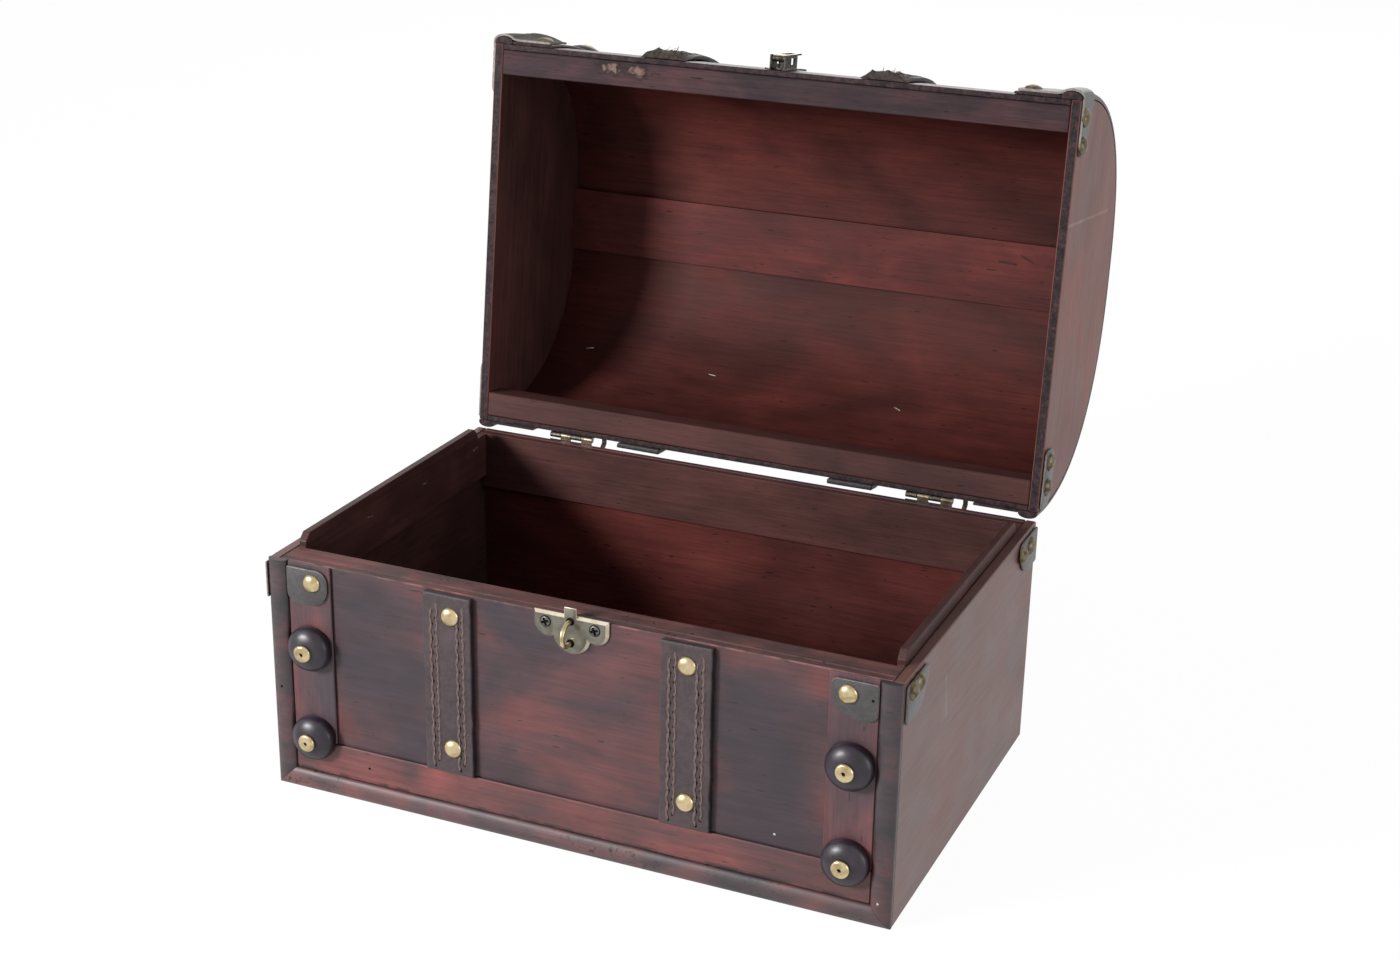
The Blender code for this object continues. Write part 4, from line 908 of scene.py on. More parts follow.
for side, sign in SIDES:
    low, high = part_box(side + "_corner_bead")
    bead = half_round(side + "_corner_bead_turned", high[0] - low[0], high[1] - low[1], high[2] - low[2])
    lay(bead, lambda x, s, h: ((low[0] + high[0]) / 2 + x, high[1] - h, low[2] + s))
    sawn(bead, (sign * HALF_WIDTH, 0.0, low[2]), (sign, 0.0, 1.0))
    fix(wear(smooth(face_out(bead)), bead_stain), "base", "stained_bead", side + "_corner_bead")
low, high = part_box("bottom_bead")
bead = half_round("bottom_bead_turned", high[2] - low[2], high[1] - low[1], high[0] - low[0])
lay(bead, lambda x, s, h: (low[0] + s, high[1] - h, (low[2] + high[2]) / 2 + x))
for side, sign in SIDES:
    sawn(bead, (sign * HALF_WIDTH, 0.0, low[2]), (-sign, 0.0, -1.0))
fix(wear(smooth(face_out(bead)), low_bead_stain_and_light), "base", "stained_bead", "bottom_bead")
print("three beads on the front")

# %% [markdown]
# ## Skin of the lid
# On the real lid one sheet of thin plywood is bent over the two ends.
# It could be cut out of a solid arch, but a flat sheet that is thickened and laid over keeps even faces.
# Its faces then take the stain of the inside, of the outside or of the sawn rim.

# %% Lid skin
SKIN_THICK = 3.0 * MM
SKIN_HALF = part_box("lid_skin")[1][0]
ARCH_STEPS = 150


def bent_board(name, low, high, rise, thick, across):
    """A flat sheet with eased edges, laid over the arch."""
    board = sheet(name, (low, 0.0), (high, ARCH_LENGTH), across, ARCH_STEPS)
    eased(shape_with(board, "SOLIDIFY", thickness=thick, offset=1.0), 0.35 * MM)
    lay(board, lambda x, s, h: over_lid(x, s, h + rise))
    return smooth(face_out(board))


def rim_face(face):
    """Whether a face of a lid piece is part of the rim, which looks forward while the lid stands open."""
    depth = (face.center - Vector((0.0, HINGE_Y, HINGE_Z))).dot(Vector(RIM_WAY))
    return face.normal.dot(Vector(RIM_WAY)) > 0.8 and depth > -1.0 * MM


def outer_face(face):
    """Whether a face of the skin looks away from the middle of the arch, and not to an end."""
    middle = Vector(open_lid(0.0, ARCH_MIDDLE, 0.0))
    outwards = face.center - middle
    outwards.x = 0.0
    return outwards.dot(face.normal) > 0.0 and abs(face.normal.x) < 0.5


skin = bent_board("lid_skin_bent", -SKIN_HALF, SKIN_HALF, -SKIN_THICK, SKIN_THICK, 12)
wear(skin, inside_stain, front_stain, sawn_edge)
for face in skin.data.polygons:
    face.material_index = 2 if rim_face(face) else int(outer_face(face))
fix(skin, "lid", "stained_plywood", "lid_skin")
print("lid skin with", len(skin.data.polygons), "faces")

# %% [markdown]
# ## Bands and beads of the lid
# Beside each end a veneer band and a half-round bead are bent over the skin.
# The bead is the same moulding as on the box, and could be swept along the arch as a curve.
# Here the straight one is cut across many times, so that it can bend with the band beside it.

# %% Lid bands and beads
BEAD_INNER = 166.3 * MM
BAND_INNER = 140.0 * MM
BAND_THICK = 1.5 * MM
LID_BEAD_HEIGHT = 4.0 * MM
SEAM = 0.3 * MM
for side, sign in SIDES:
    low, high = sorted((sign * BAND_INNER, sign * (BEAD_INNER - SEAM)))
    band = bent_board(side + "_lid_band_bent", low, high, SEAM, BAND_THICK, 4)
    second_finish(wear(band, stile_stain, sawn_edge), rim_face)
    fix(band, "lid", "stained_batten", side + "_lid_band")
    bead = half_round(side + "_lid_bead_bent", HALF_WIDTH - BEAD_INNER, LID_BEAD_HEIGHT, ARCH_LENGTH)
    for cut in range(1, ARCH_STEPS):
        pick(bead, "FACE", all_of)
        bpy.ops.mesh.bisect(plane_co=(0.0, ARCH_LENGTH * cut / ARCH_STEPS, 0.0), plane_no=BACK)
        done()
    lay(bead, lambda x, s, h: over_lid(sign * (HALF_WIDTH + BEAD_INNER) / 2 + x, s, h + SEAM))
    second_finish(wear(smooth(face_out(bead)), bead_stain, sawn_edge), rim_face)
    fix(bead, "lid", "stained_bead", side + "_lid_bead")
print("two bands and two beads on the lid")

# %% [markdown]
# ## Leather straps
# Each strap is a flat belt: one length nailed up the front, and one over the lid, torn at its front end.
# Cloth simulation could drape it, but nailed leather hardly hangs.
# So a sheet gets its thickness, its cut edges are rounded, and slow waves keep it from looking like a ruler.

# %% Rules of the straps
STRAP_THICK = 3.0 * MM
TORN_LENGTH = 30.0 * MM
straps = {}
for side in ("left", "right"):
    low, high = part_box(side + "_front_strap")
    straps[side] = (low[0], high[0])


def swell(x, s):
    """How far a strap stands off its seat at a place: slow waves of a fraction of a millimetre."""
    return 0.2 * MM * (1.0 + np.sin(s / (13.0 * MM)) * np.cos(x / (9.0 * MM) + s / (41.0 * MM)))


def strap_on_front(x, z, height):
    """Rule for what lies on the front straps."""
    return on_front(x, z, height + swell(x, z))


def strap_on_lid(x, s, height):
    """Rule for what lies on the lid straps: the torn front end is swollen, and thin at its sides."""
    low, high = straps["left" if np.mean(x) < 0.0 else "right"]
    sideways = np.clip(np.abs(2.0 * x - low - high) / (high - low), 0.0, 1.0)
    torn = np.clip(1.0 - s / TORN_LENGTH, 0.0, 1.0) ** 1.5
    ragged = 0.5 * np.sin(x / (2.1 * MM)) + 0.35 * np.sin(x / (1.3 * MM) + s / (3.0 * MM))
    thick = 1.0 + torn * (0.7 - 1.5 * sideways ** 2 + 0.6 * ragged)
    return over_lid(x, s, height * thick + SEAM + swell(x, s) * (1.0 - torn))


print("straps are", round((high[0] - low[0]) / MM, 1), "mm wide")

# %% Straps
LID_STRAP_START = 0.4 * MM
LID_STRAP_END = ARCH_LENGTH + 0.6 * MM
ripples = bpy.data.textures.new("ripples", "CLOUDS")
ripples.noise_scale = 9.0 * MM


def leather_strap(name, side, start, end, along):
    """A belt on the bench with its cut edges painted near black as shade, cut not quite straight."""
    low, high = straps[side]
    belt = sheet(name, (low, start), (high, end), 30, along)
    eased(shape_with(belt, "SOLIDIFY", thickness=STRAP_THICK, offset=1.0), 0.8 * MM, 3)
    # The side faces of the belt take the painted shade.
    second_finish(wear(belt, strap_leather, edge_painted_shade), lambda face: abs(face.normal.z) < 0.55)
    return shape_with(belt, "DISPLACE", texture=ripples, strength=1.1 * MM, direction="X", mid_level=0.45)


for side in ("left", "right"):
    low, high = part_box(side + "_front_strap")
    belt = leather_strap(side + "_front_strap_cut", side, low[2], high[2], 40)
    fix(smooth(face_out(lay(belt, strap_on_front)), 60.0), "base", "black_leather", side + "_front_strap")
    belt = leather_strap(side + "_lid_strap_cut", side, LID_STRAP_START, LID_STRAP_END, ARCH_STEPS)
    belt.data.materials[0] = lid_strap_leather
    for face in belt.data.polygons:
        if face.center.y < 1.5 * MM:
            face.material_index = 0
    fix(smooth(face_out(lay(belt, strap_on_lid)), 60.0), "lid", "black_leather", side + "_lid_strap")
print("four straps")

# %% [markdown]
# ## Stitching
# Two rows run up every strap, each of two columns of bowed stitches, in pinkish brown thread.
# A curve with a round bevel could run as thread, but the short separate bows are what the eye sees.
# One stitch is half of a small ring, drawn out long, with a needle hole at its end, a flat black disc painted
# as the hole's shade.
# Arrays repeat it along the column, and the second column is bowed the other way.

# %% Stitching rows
STITCH = 8.2 * MM
THREAD = 0.62 * MM
BOW = 1.1 * MM
COLUMN_GAP = 2.2 * MM
ROW_INSETS = (6.7 * MM, 21.9 * MM)
HOLE_SHADE_RADIUS = 0.95 * MM


def stitch_column(name, across, start, count, bow):
    """One column of stitches, on top of the leather, bowed to the left or to the right."""
    bare_bench()
    bpy.ops.mesh.primitive_torus_add(major_segments=14, minor_segments=5, major_radius=BOW,
                                     minor_radius=THREAD)
    bpy.context.object.scale = (bow, STITCH * 0.36 / BOW, 0.9)
    stitch = sawn(name_it(name), ORIGIN, (bow, 0.0, 0.0))
    wear(face_out(stitch), thread_brown, hole_shade_and_pin_black)
    bare_bench()
    # A flat black disc at the stitch's end is the painted shade of its needle hole.
    bpy.ops.mesh.primitive_uv_sphere_add(segments=8, ring_count=4, radius=HOLE_SHADE_RADIUS)
    hole = name_it(name + "_hole")
    pick(hole, "VERT", all_of)
    bpy.ops.transform.resize(value=(0.9, 1.25, 0.16), center_override=ORIGIN)
    bpy.ops.transform.translate(value=(0.0, -STITCH / 2, -0.03 * MM))
    done()
    column = joined(name, stitch, wear(hole, hole_shade_and_pin_black))
    lay(column, lambda x, y, z: (x + across, y + start + STITCH / 2, z + STRAP_THICK))
    return shape_with(column, "ARRAY", count=count, use_relative_offset=False, use_constant_offset=True,
                      constant_offset_displace=(0.0, STITCH, 0.0))


def stitch_rows(name, side, start, end):
    """Both rows of a strap on the bench: four columns, every second one half a stitch further on."""
    count = int((end - start - 7.0 * MM) / STITCH)
    columns = []
    for inset in ROW_INSETS:
        for number, bow in enumerate((-1.0, 1.0)):
            across = straps[side][0] + inset + bow * COLUMN_GAP / 2
            first = start + 3.0 * MM + number * STITCH * 0.45
            columns.append(stitch_column(name + str(len(columns)), across, first, count, bow))
    rows = joined(name, *columns)
    pick(rows, "VERT", all_of)
    bpy.ops.transform.vertex_random(offset=0.10 * MM, seed=5)
    done()
    return rows


for side in ("left", "right"):
    low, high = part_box(side + "_front_strap")
    rows = stitch_rows(side + "_front_stitching", side, low[2], high[2])
    fix(smooth(lay(rows, strap_on_front)), "base", "black_leather")
    rows = stitch_rows(side + "_lid_stitching", side, LID_STRAP_START, ARCH_LENGTH)
    fix(smooth(lay(rows, strap_on_lid)), "lid", "black_leather")
print("stitching on four straps")

# %% [markdown]
# ## Leather patches on the box
# A tongue of black leather is tacked over each upper corner, on the front and on the sides.
# A rounded box would give all corners the same radius, and these were cut by hand with large and small ones.
# So each is a flat piece whose corners are rounded one by one, then given thickness and soft edges.

# %% Cutting a patch
PATCH_THICK = 1.3 * MM


def leather_patch(name, low, high, rounds):
    """A flat piece on the bench with its corners rounded: (across end, along end, radius)."""
    bare_bench()
    middle = ((low[0] + high[0]) / 2, (low[1] + high[1]) / 2, 0.0)
    bpy.ops.mesh.primitive_plane_add(size=1.0, location=middle)
    bpy.context.object.scale = (high[0] - low[0], high[1] - low[1], 1.0)
    patch = name_it(name)
    for across, along, radius in rounds:
        corner = Vector(((low, high)[across][0], (low, high)[along][1], 0.0))
        pick(patch, "VERT", lambda place, normal: (place - corner).length < 0.1 * MM)
        bpy.ops.mesh.bevel(offset=radius, segments=8, affect="VERTICES")
        done()
    eased(shape_with(patch, "SOLIDIFY", thickness=PATCH_THICK, offset=1.0), 0.65 * MM)
    return second_finish(wear(patch, patch_leather, cut_edge_and_highlight), lambda face: abs(face.normal.z) < 0.9)


print("patches are", PATCH_THICK / MM, "mm thick")

# %% Box patches
PATCH_ROUNDS = {"left_front": (10.0 * MM, 6.5 * MM, 6.0 * MM), "right_front": (14.5 * MM, 3.5 * MM, 6.0 * MM),
                "side": (17.0 * MM, 2.5 * MM, 1.0 * MM)}
OVERHANGS = {"left_side_front_patch": 4.5 * MM}


def rounds_for(kind, inner):
    """Big rounds at the inner end, lower and upper, and small ones at the corner of the chest."""
    lower, upper, outer = PATCH_ROUNDS[kind]
    return ((inner, 0, lower), (inner, 1, upper), (1 - inner, 0, outer), (1 - inner, 1, 1.0 * MM))


for side, sign in SIDES:
    name = side + "_front_patch"
    low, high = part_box(name)
    rounds = rounds_for(side + "_front", 1 if sign < 0 else 0)
    patch = leather_patch(name + "_cut", (low[0], low[2]), (high[0], high[2]), rounds)
    lay(patch, lambda x, z, h: (x, high[1] - h, z))
    fix(smooth(face_out(patch)), "base", "black_leather", name)
    for end, inner in (("front", 1), ("back", 0)):
        name = side + "_side_" + end + "_patch"
        low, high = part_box(name)
        front = low[1] - OVERHANGS.get(name, 0.0)
        patch = leather_patch(name + "_cut", (front, low[2]), (high[1], high[2]), rounds_for("side", inner))
        seat = low[0] if sign > 0 else high[0]
        lay(patch, lambda y, z, h: (seat + sign * h, y, z))
        fix(smooth(face_out(patch)), "base", "black_leather", name)
print("six patches on the box")

# %% [markdown]
# ## Leather on the lid's corners
# At the front rim a strip of leather comes across the band, climbs over the bead and folds down the end.
# It could be three pieces, one for each face, but then the fold over the bead would show a seam.
# So one flat sheet follows the whole path, and its tail on the end is narrowed to a tongue.
# On the left the strip has come loose behind its tack and stands off the band a little.

# %% Path of the fold
FOLD_INNER = 141.5 * MM
FOLD_WIDE = 21.0 * MM
FOLD_DROP = 32.0 * MM
FOLD_RIM = 1.2 * MM
BAND_STOP, BAND_SEAT = 163.5 * MM, 2.1 * MM
CREST_X, CREST_HALF = 171.9 * MM, 5.9 * MM
CREST_FOOT, CREST_RISE = 1.5 * MM, 3.2 * MM
END_SEAT_X = 177.8 * MM
BRIDGE_HEIGHT, BRIDGE_SLOPE, BRIDGE_SAG = 4.7, 0.22, 0.0112
TIP_LENGTH = 7.0 * MM
TAIL_TAPER = 0.42
swing = np.linspace(math.radians(155.0), 0.0, 24)
fold_x = np.concatenate(([FOLD_INNER, BAND_STOP], CREST_X + CREST_HALF * np.cos(swing), [END_SEAT_X]))
crest_out = CREST_FOOT + CREST_RISE * np.sin(swing)
fold_out = np.concatenate(([BAND_SEAT, BAND_SEAT], crest_out, [CREST_FOOT - FOLD_DROP]))
fold_u = np.concatenate(([0.0], np.cumsum(np.hypot(np.diff(fold_x), np.diff(fold_out)))))
FOLD_LENGTH = fold_u[-1]


def folded(sign, lift):
    """Rule for one front corner: along the fold, along the arch, and out from the fold.

    Where the leather has come loose it bridges from the bead's crest to the band in a low bow."""
    def rule(u, s, height):
        before, after = np.clip(u - 0.5 * MM, 0.0, FOLD_LENGTH), np.clip(u + 0.5 * MM, 0.0, FOLD_LENGTH)
        step_x = np.interp(after, fold_u, fold_x) - np.interp(before, fold_u, fold_x)
        step_out = np.interp(after, fold_u, fold_out) - np.interp(before, fold_u, fold_out)
        size = np.hypot(step_x, step_out)
        tail = np.clip((u - FOLD_LENGTH + FOLD_DROP) / FOLD_DROP, 0.0, 1.0)
        tip = np.clip((u - FOLD_LENGTH + TIP_LENGTH) / TIP_LENGTH, 0.0, 1.0)
        taper = 1.0 - TAIL_TAPER * tail
        narrow = taper * np.sqrt(np.clip(1.0 - tip ** 2, 0.04, 1.0))
        share = (s - FOLD_RIM) / FOLD_WIDE
        s = FOLD_RIM + FOLD_WIDE * (0.5 * taper + (share - 0.5) * narrow)
        x = np.interp(u, fold_u, fold_x) - step_out / size * height
        seat = np.interp(u, fold_u, fold_out)
        inward = np.clip(CREST_X - np.interp(u, fold_u, fold_x), 0.0, None) / MM
        bridge = (BRIDGE_HEIGHT + BRIDGE_SLOPE * inward - BRIDGE_SAG * inward ** 2) * MM
        loose = np.clip(share, 0.0, 1.0) ** 2 * np.clip(inward / 3.0, 0.0, 1.0) * lift
        out = seat + np.clip(bridge - seat, 0.0, None) * loose + step_x / size * height
        return over_lid(sign * x, s, out)
    return rule


print("fold is", round(FOLD_LENGTH / MM, 1), "mm long")

# %% Patches on the lid
BACK_LOW, BACK_HIGH = (-37.0 * MM, 0.5 * MM), (-3.2 * MM, 19.5 * MM)
BACK_ROUNDS = ((0, 0, 3.0 * MM), (0, 1, 9.0 * MM), (1, 1, 9.0 * MM), (1, 0, 1.0 * MM))
FOLD_ROUNDS = ((FOLD_RIM, 0.6 * MM), (FOLD_RIM + FOLD_WIDE, 2.4 * MM))
for side, sign, lift, hide in (("left", -1.0, 1.0, loose_leather), ("right", 1.0, 0.15, patch_leather)):
    name = side + "_lid_corner_patch"
    patch = sheet(name + "_folded", (0.0, FOLD_RIM), (FOLD_LENGTH, FOLD_RIM + FOLD_WIDE), 64, 16)
    for along, radius in FOLD_ROUNDS:
        corner = Vector((0.0, along, 0.0))
        pick(patch, "VERT", lambda place, normal: (place - corner).length < radius)
        bpy.ops.mesh.bevel(offset=radius, segments=4, affect="VERTICES")
        done()
    shape_with(patch, "SOLIDIFY", thickness=PATCH_THICK, offset=1.0)
    second_finish(wear(patch, hide, cut_edge_and_highlight), lambda face: abs(face.normal.z) < 0.5)
    eased(patch, 0.35 * MM)
    fix(smooth(face_out(lay(patch, folded(sign, lift)))), "lid", "black_leather", name)
    name = side + "_lid_end_back_patch"
    patch = leather_patch(name + "_cut", BACK_LOW, BACK_HIGH, BACK_ROUNDS)
    lay(patch, lambda y, z, h: on_lid_end(sign)(y, z, h + SEAM))
    fix(smooth(face_out(patch)), "lid", "black_leather", name)
print("four patches on the lid")

# %% [markdown]
# ## Lacquered knobs
# Six flat wooden knobs, turned on a lathe and dipped in black lacquer, sit on the stiles and the lid bands.
# Their profile could be spun round an axis, but a bar is quicker to change.
# A short cylinder is drawn in three times towards the crown, like a blunt cone, and its rim is rounded over.

# %% Turning a knob
KNOB_RADIUS = 12.7 * MM
KNOB_HEIGHT = 8.6 * MM
KNOB_RIM = 3.4 * MM
KNOB_STEPS = ((0.90, 2.2 * MM), (0.74, 1.8 * MM), (0.58, KNOB_HEIGHT - KNOB_RIM - 4.0 * MM))
master_knob = rod("knob_turned", KNOB_RADIUS, KNOB_RIM, (0.0, 0.0, KNOB_RIM / 2), sides=48)
for share, rise in KNOB_STEPS:
    top = max(corner.co.z for corner in master_knob.data.vertices)
    pick(master_knob, "FACE", lambda place, normal: normal.z > 0.99 and place.z > top - 0.1 * MM)
    bpy.ops.mesh.extrude_region_move(TRANSFORM_OT_translate={"value": (0.0, 0.0, rise)})
    bpy.ops.transform.resize(value=(share, share, 1.0), center_override=(0.0, 0.0, top + rise))
    done()


def level_edges(height):
    """Rule for the edges that lie level at a height."""
    return lambda place, run: abs(place.z - height) < 0.1 * MM and abs(run.z) < 0.1 * MM


rounded(master_knob, level_edges(KNOB_RIM), 1.4 * MM, 5)
rounded(master_knob, level_edges(0.0), 0.9 * MM, 2)
wear(smooth(face_out(master_knob), 50.0), black_lacquer)
print("knob", 2 * KNOB_RADIUS / MM, "mm wide")

# %% Knobs
KNOB_X = 153.0 * MM
KNOB_FOOT = 1.7 * MM
KNOB_LEVELS = (("upper", 86.0 * MM), ("lower", 33.0 * MM))
LID_KNOB_ALONG = 73.0 * MM
LID_KNOB_FOOT = 2.1 * MM
knob_y, knob_z, out_y, out_z = (float(value) for value in along_arch(np.array(LID_KNOB_ALONG)))


def on_lid_knob(sign):
    """Rule for a flat foot that touches the arch at the knob's place."""
    def rule(x, s, h):
        rise = h + LID_KNOB_FOOT
        y, z = knob_y + s * out_z + rise * out_y, knob_z - s * out_y + rise * out_z
        return open_lid(sign * KNOB_X + x, y, z)
    return rule


for side, sign in SIDES:
    for level, height in KNOB_LEVELS:
        name = side + "_" + level + "_knob"
        knob = spare(master_knob, name + "_turned")
        lay(knob, lambda x, y, h: on_front(sign * KNOB_X + x, height + y, h + KNOB_FOOT))
        fix(face_out(knob), "base", "black_lacquer", name)
    name = side + "_lid_knob"
    knob = lay(spare(master_knob, name + "_turned"), on_lid_knob(sign))
    fix(face_out(knob), "lid", "black_lacquer", name)
bpy.data.objects.remove(master_knob)
print("six knobs")

# %% [markdown]
# ## Brass tacks
# Upholstery tacks with domed heads hold the leather, and a flat-headed nail holds every knob.
# One shape could serve for both, but the nails are flat, with a dimple in the middle whose floor is painted
# black as its shade.
# One dome is cut from a ball and dented a little; one nail is a disc with a rounded rim and a dimple.

# %% Tack head
TACK_RADIUS = 5.2 * MM
TACK_HEIGHT = 2.7 * MM
TACK_SKIRT = 0.6 * MM
bare_bench()
bpy.ops.mesh.primitive_uv_sphere_add(segments=28, ring_count=16, radius=TACK_RADIUS)
master_tack = name_it("tack_head")
pick(master_tack, "VERT", all_of)
bpy.ops.transform.resize(value=(1.0, 1.0, TACK_HEIGHT / TACK_RADIUS), center_override=ORIGIN)
done()
sawn(master_tack, ORIGIN, UP)
pick(master_tack, "VERT", lambda place, normal: place.z > 0.4 * MM)
bpy.ops.transform.vertex_random(offset=0.035 * MM, seed=3)
done()
pulled(master_tack, lambda place, normal: normal.z < -0.9, (0.0, 0.0, -TACK_SKIRT))
wear(smooth(face_out(master_tack), 60.0), tack_brass)
print("tack", 2 * TACK_RADIUS / MM, "mm wide")

# %% Nail head
NAIL_RADIUS = 5.0 * MM
NAIL_HEIGHT = 1.8 * MM
master_nail = rod("knob_nail", NAIL_RADIUS, NAIL_HEIGHT, (0.0, 0.0, NAIL_HEIGHT / 2), sides=32)
rounded(master_nail, lambda place, run: place.z > 1.7 * MM, 1.3 * MM, 5)
pick(master_nail, "FACE", lambda place, normal: normal.z > 0.99)
bpy.ops.mesh.inset(thickness=2.5 * MM, depth=0.3 * MM)
bpy.ops.mesh.inset(thickness=0.25 * MM, depth=-0.4 * MM)
done()
wear(smooth(face_out(master_nail), 50.0), tack_brass, hole_shade_and_pin_black)
# The dimple's floor takes the black painted shade.
second_finish(master_nail, lambda face: face.normal.z > 0.5 and face.center.xy.length < 0.5 * MM)
print("nail", 2 * NAIL_RADIUS / MM, "mm wide")

# %% [markdown]
# ## Driving the tacks
# Each tack was driven by hand, so none sits quite square. An array would make them all alike.
# So every copy is turned by luck about its shank and leaned a little, and no two show the same dents.
# The tacks on the sides and on the lid's corners have dulled more than those on the front.

# %% Tacks and nails
LEAN = 0.06
STRAP_TOP = STRAP_THICK + 0.1 * MM
STRAP_TACK_X = (("left", -67.0 * MM), ("right", 66.3 * MM))
STRAP_TACK_LEVELS = (("upper", 121.5 * MM), ("lower", 45.5 * MM))
FRONT_TACK_X, FRONT_TACK_Z = 150.4 * MM, 124.0 * MM
PATCH_ON_TRIM = 3.0 * MM
SIDE_SEAT = 1.6 * MM
END_SEATS = {"left": -0.2 * MM, "right": 1.6 * MM}
SIDE_TACKS = ((-105.0, 127.0), (-96.0, 127.0), (83.6, 125.0), (98.8, 125.0))
END_TACKS = ((-221.3, 5.0), (-206.3, 5.0), (-29.4, 9.3), (-15.0, 8.6))
CORNER_TACK_X, CORNER_TACK_ALONG, CORNER_SEAT = 148.6 * MM, 8.0 * MM, 2.9 * MM
LID_STRAP_TACKS = (96.0 * MM, ARCH_LENGTH / 2, ARCH_LENGTH - 40.0 * MM)
NAIL_SEAT = KNOB_FOOT + KNOB_HEIGHT + 0.25 * MM
LID_NAIL_SEAT = 1.6 * MM + KNOB_HEIGHT


def drive(master, name, body, rule, place, finish=None):
    """Drives one copy into place: turned by luck, leaned a little, then laid by the rule of its surface."""
    head = spare(master, name)
    spin = Matrix.Rotation(luck.uniform(0.0, 2.0 * math.pi), 4, "Z")
    nod = Matrix.Rotation(luck.uniform(-LEAN, LEAN), 4, "X")
    lean = nod @ Matrix.Rotation(luck.uniform(-LEAN, LEAN), 4, "Y")
    head.data.transform(Matrix.Translation(place) @ lean @ spin)
    fix(face_out(lay(head, rule)), body, "latch_brass")
    if finish:
        wear(head, finish)


def drive_row(side, kind, body, rule, places, seat):
    """Drives dull tacks at places given in millimetres, and numbers them."""
    for number, (depth, height) in enumerate(places):
        name = side + kind + str(number + 1)
        drive(master_tack, name, body, rule, (depth * MM, height * MM, seat), dull_brass)


for side, across in STRAP_TACK_X:
    for level, height in STRAP_TACK_LEVELS:
        name = side + "_strap_" + level + "_tack"
        drive(master_tack, name, "base", strap_on_front, (across, height, STRAP_TOP))
for side, sign in SIDES:
    place = (sign * FRONT_TACK_X, FRONT_TACK_Z, PATCH_ON_TRIM)
    drive(master_tack, side + "_front_patch_tack", "base", on_front, place)
    for level, height in KNOB_LEVELS:
        place = (sign * KNOB_X, height, NAIL_SEAT)
        drive(master_nail, side + "_" + level + "_knob_nail", "base", on_front, place)
    drive_row(side, "_side_tack_", "base", on_side(sign), SIDE_TACKS, SIDE_SEAT)
    drive_row(side, "_lid_end_tack_", "lid", on_lid_end(sign), END_TACKS, END_SEATS[side])
    place = (sign * CORNER_TACK_X, CORNER_TACK_ALONG, CORNER_SEAT)
    drive(master_tack, side + "_lid_corner_tack", "lid", over_lid, place, dull_brass)
    place = (sign * KNOB_X, LID_KNOB_ALONG, LID_NAIL_SEAT)
    drive(master_nail, side + "_lid_knob_nail", "lid", over_lid, place)
for side, across in STRAP_TACK_X:
    for number, along in enumerate(LID_STRAP_TACKS):
        name = side + "_lid_strap_tack_" + str(number + 1)
        drive(master_tack, name, "lid", strap_on_lid, (across, along, STRAP_TOP))
for spent in (master_tack, master_nail):
    bpy.data.objects.remove(spent)
print("tacks and nails driven")

# %% [markdown]
# ## The catch
# The plate is pressed from brass: two wings and a round lobe with a bevelled rim, and a tongue on top.
# It could be drawn as one outline, but a bar and three discs give the same curves with less counting.
# Each has its front edge chamfered, and the chamfers vanish wherever the pieces run into one another.

# %% Catch plate
CATCH_X = 1.6 * MM
PLATE_TOP = 135.0 * MM
PLATE_HALF = 21.0 * MM
PLATE_THICK = 2.0 * MM
PLATE_CHAMFER = 1.4 * MM
WING_DROP, WING_RADIUS = 6.5 * MM, 7.5 * MM
LOBE_DROP, LOBE_RADIUS = 11.0 * MM, 10.5 * MM
DISC_CUT = (0.0, -2.0 * MM, 0.0)
TONGUE_HALF, TONGUE_ROOT, TONGUE_RISE, TONGUE_BACK = 3.5 * MM, 5.0 * MM, 4.5 * MM, 1.3 * MM


def chamfered(piece, top, rule):
    """Chamfers the edges of the upper face that the rule names."""
    return rounded(piece, lambda place, run: abs(place.z - top) < 0.01 * MM and rule(place), PLATE_CHAMFER, 1)


plate = block("catch_plate", (-PLATE_HALF, -WING_DROP, 0.0), (PLATE_HALF, 0.0, PLATE_THICK))
chamfered(plate, PLATE_THICK, lambda place: place.y > -WING_DROP * 0.9)
wing_x = PLATE_HALF - WING_RADIUS
discs = []
for across, drop, radius in ((-wing_x, WING_DROP, WING_RADIUS), (wing_x, WING_DROP, WING_RADIUS),
                             (0.0, LOBE_DROP, LOBE_RADIUS)):
    top = PLATE_THICK - (len(discs) + 1) * 0.01 * MM
    disc = chamfered(rod("disc", radius, top, (across, -drop, top / 2), sides=64), top, lambda place: True)
    discs.append(sawn(disc, DISC_CUT, FORWARD))
tongue = block("tongue", (-TONGUE_HALF, -TONGUE_ROOT, TONGUE_BACK),
               (TONGUE_HALF, TONGUE_RISE, PLATE_THICK + 0.02 * MM))
eased(tongue, 0.3 * MM)
joined("catch_plate", plate, tongue, *discs)
lay(plate, lambda x, s, h: on_front(CATCH_X + x, PLATE_TOP + s, h))
# The chamfers and the tongue's edges take the paler brass as painted highlights; the flat front faces keep
# the field's brass.
wear(smooth(face_out(plate), 25.0), brass_painted_highlight, catch_field)
second_finish(plate, lambda face: face.normal.y < -0.98)
fix(plate, "base", "latch_brass", "staple_plate")
print("catch plate", 2 * PLATE_HALF / MM, "mm wide")

# %% [markdown]
# ## The staple
# A bent wire stands out of the plate, and the hasp's slot drops over it.
# A curve with thickness would do, but half of a ring with straight legs is the same bend in fewer steps.
# Where the wire goes through the plate, a black disc round it is the painted shade of its hole.

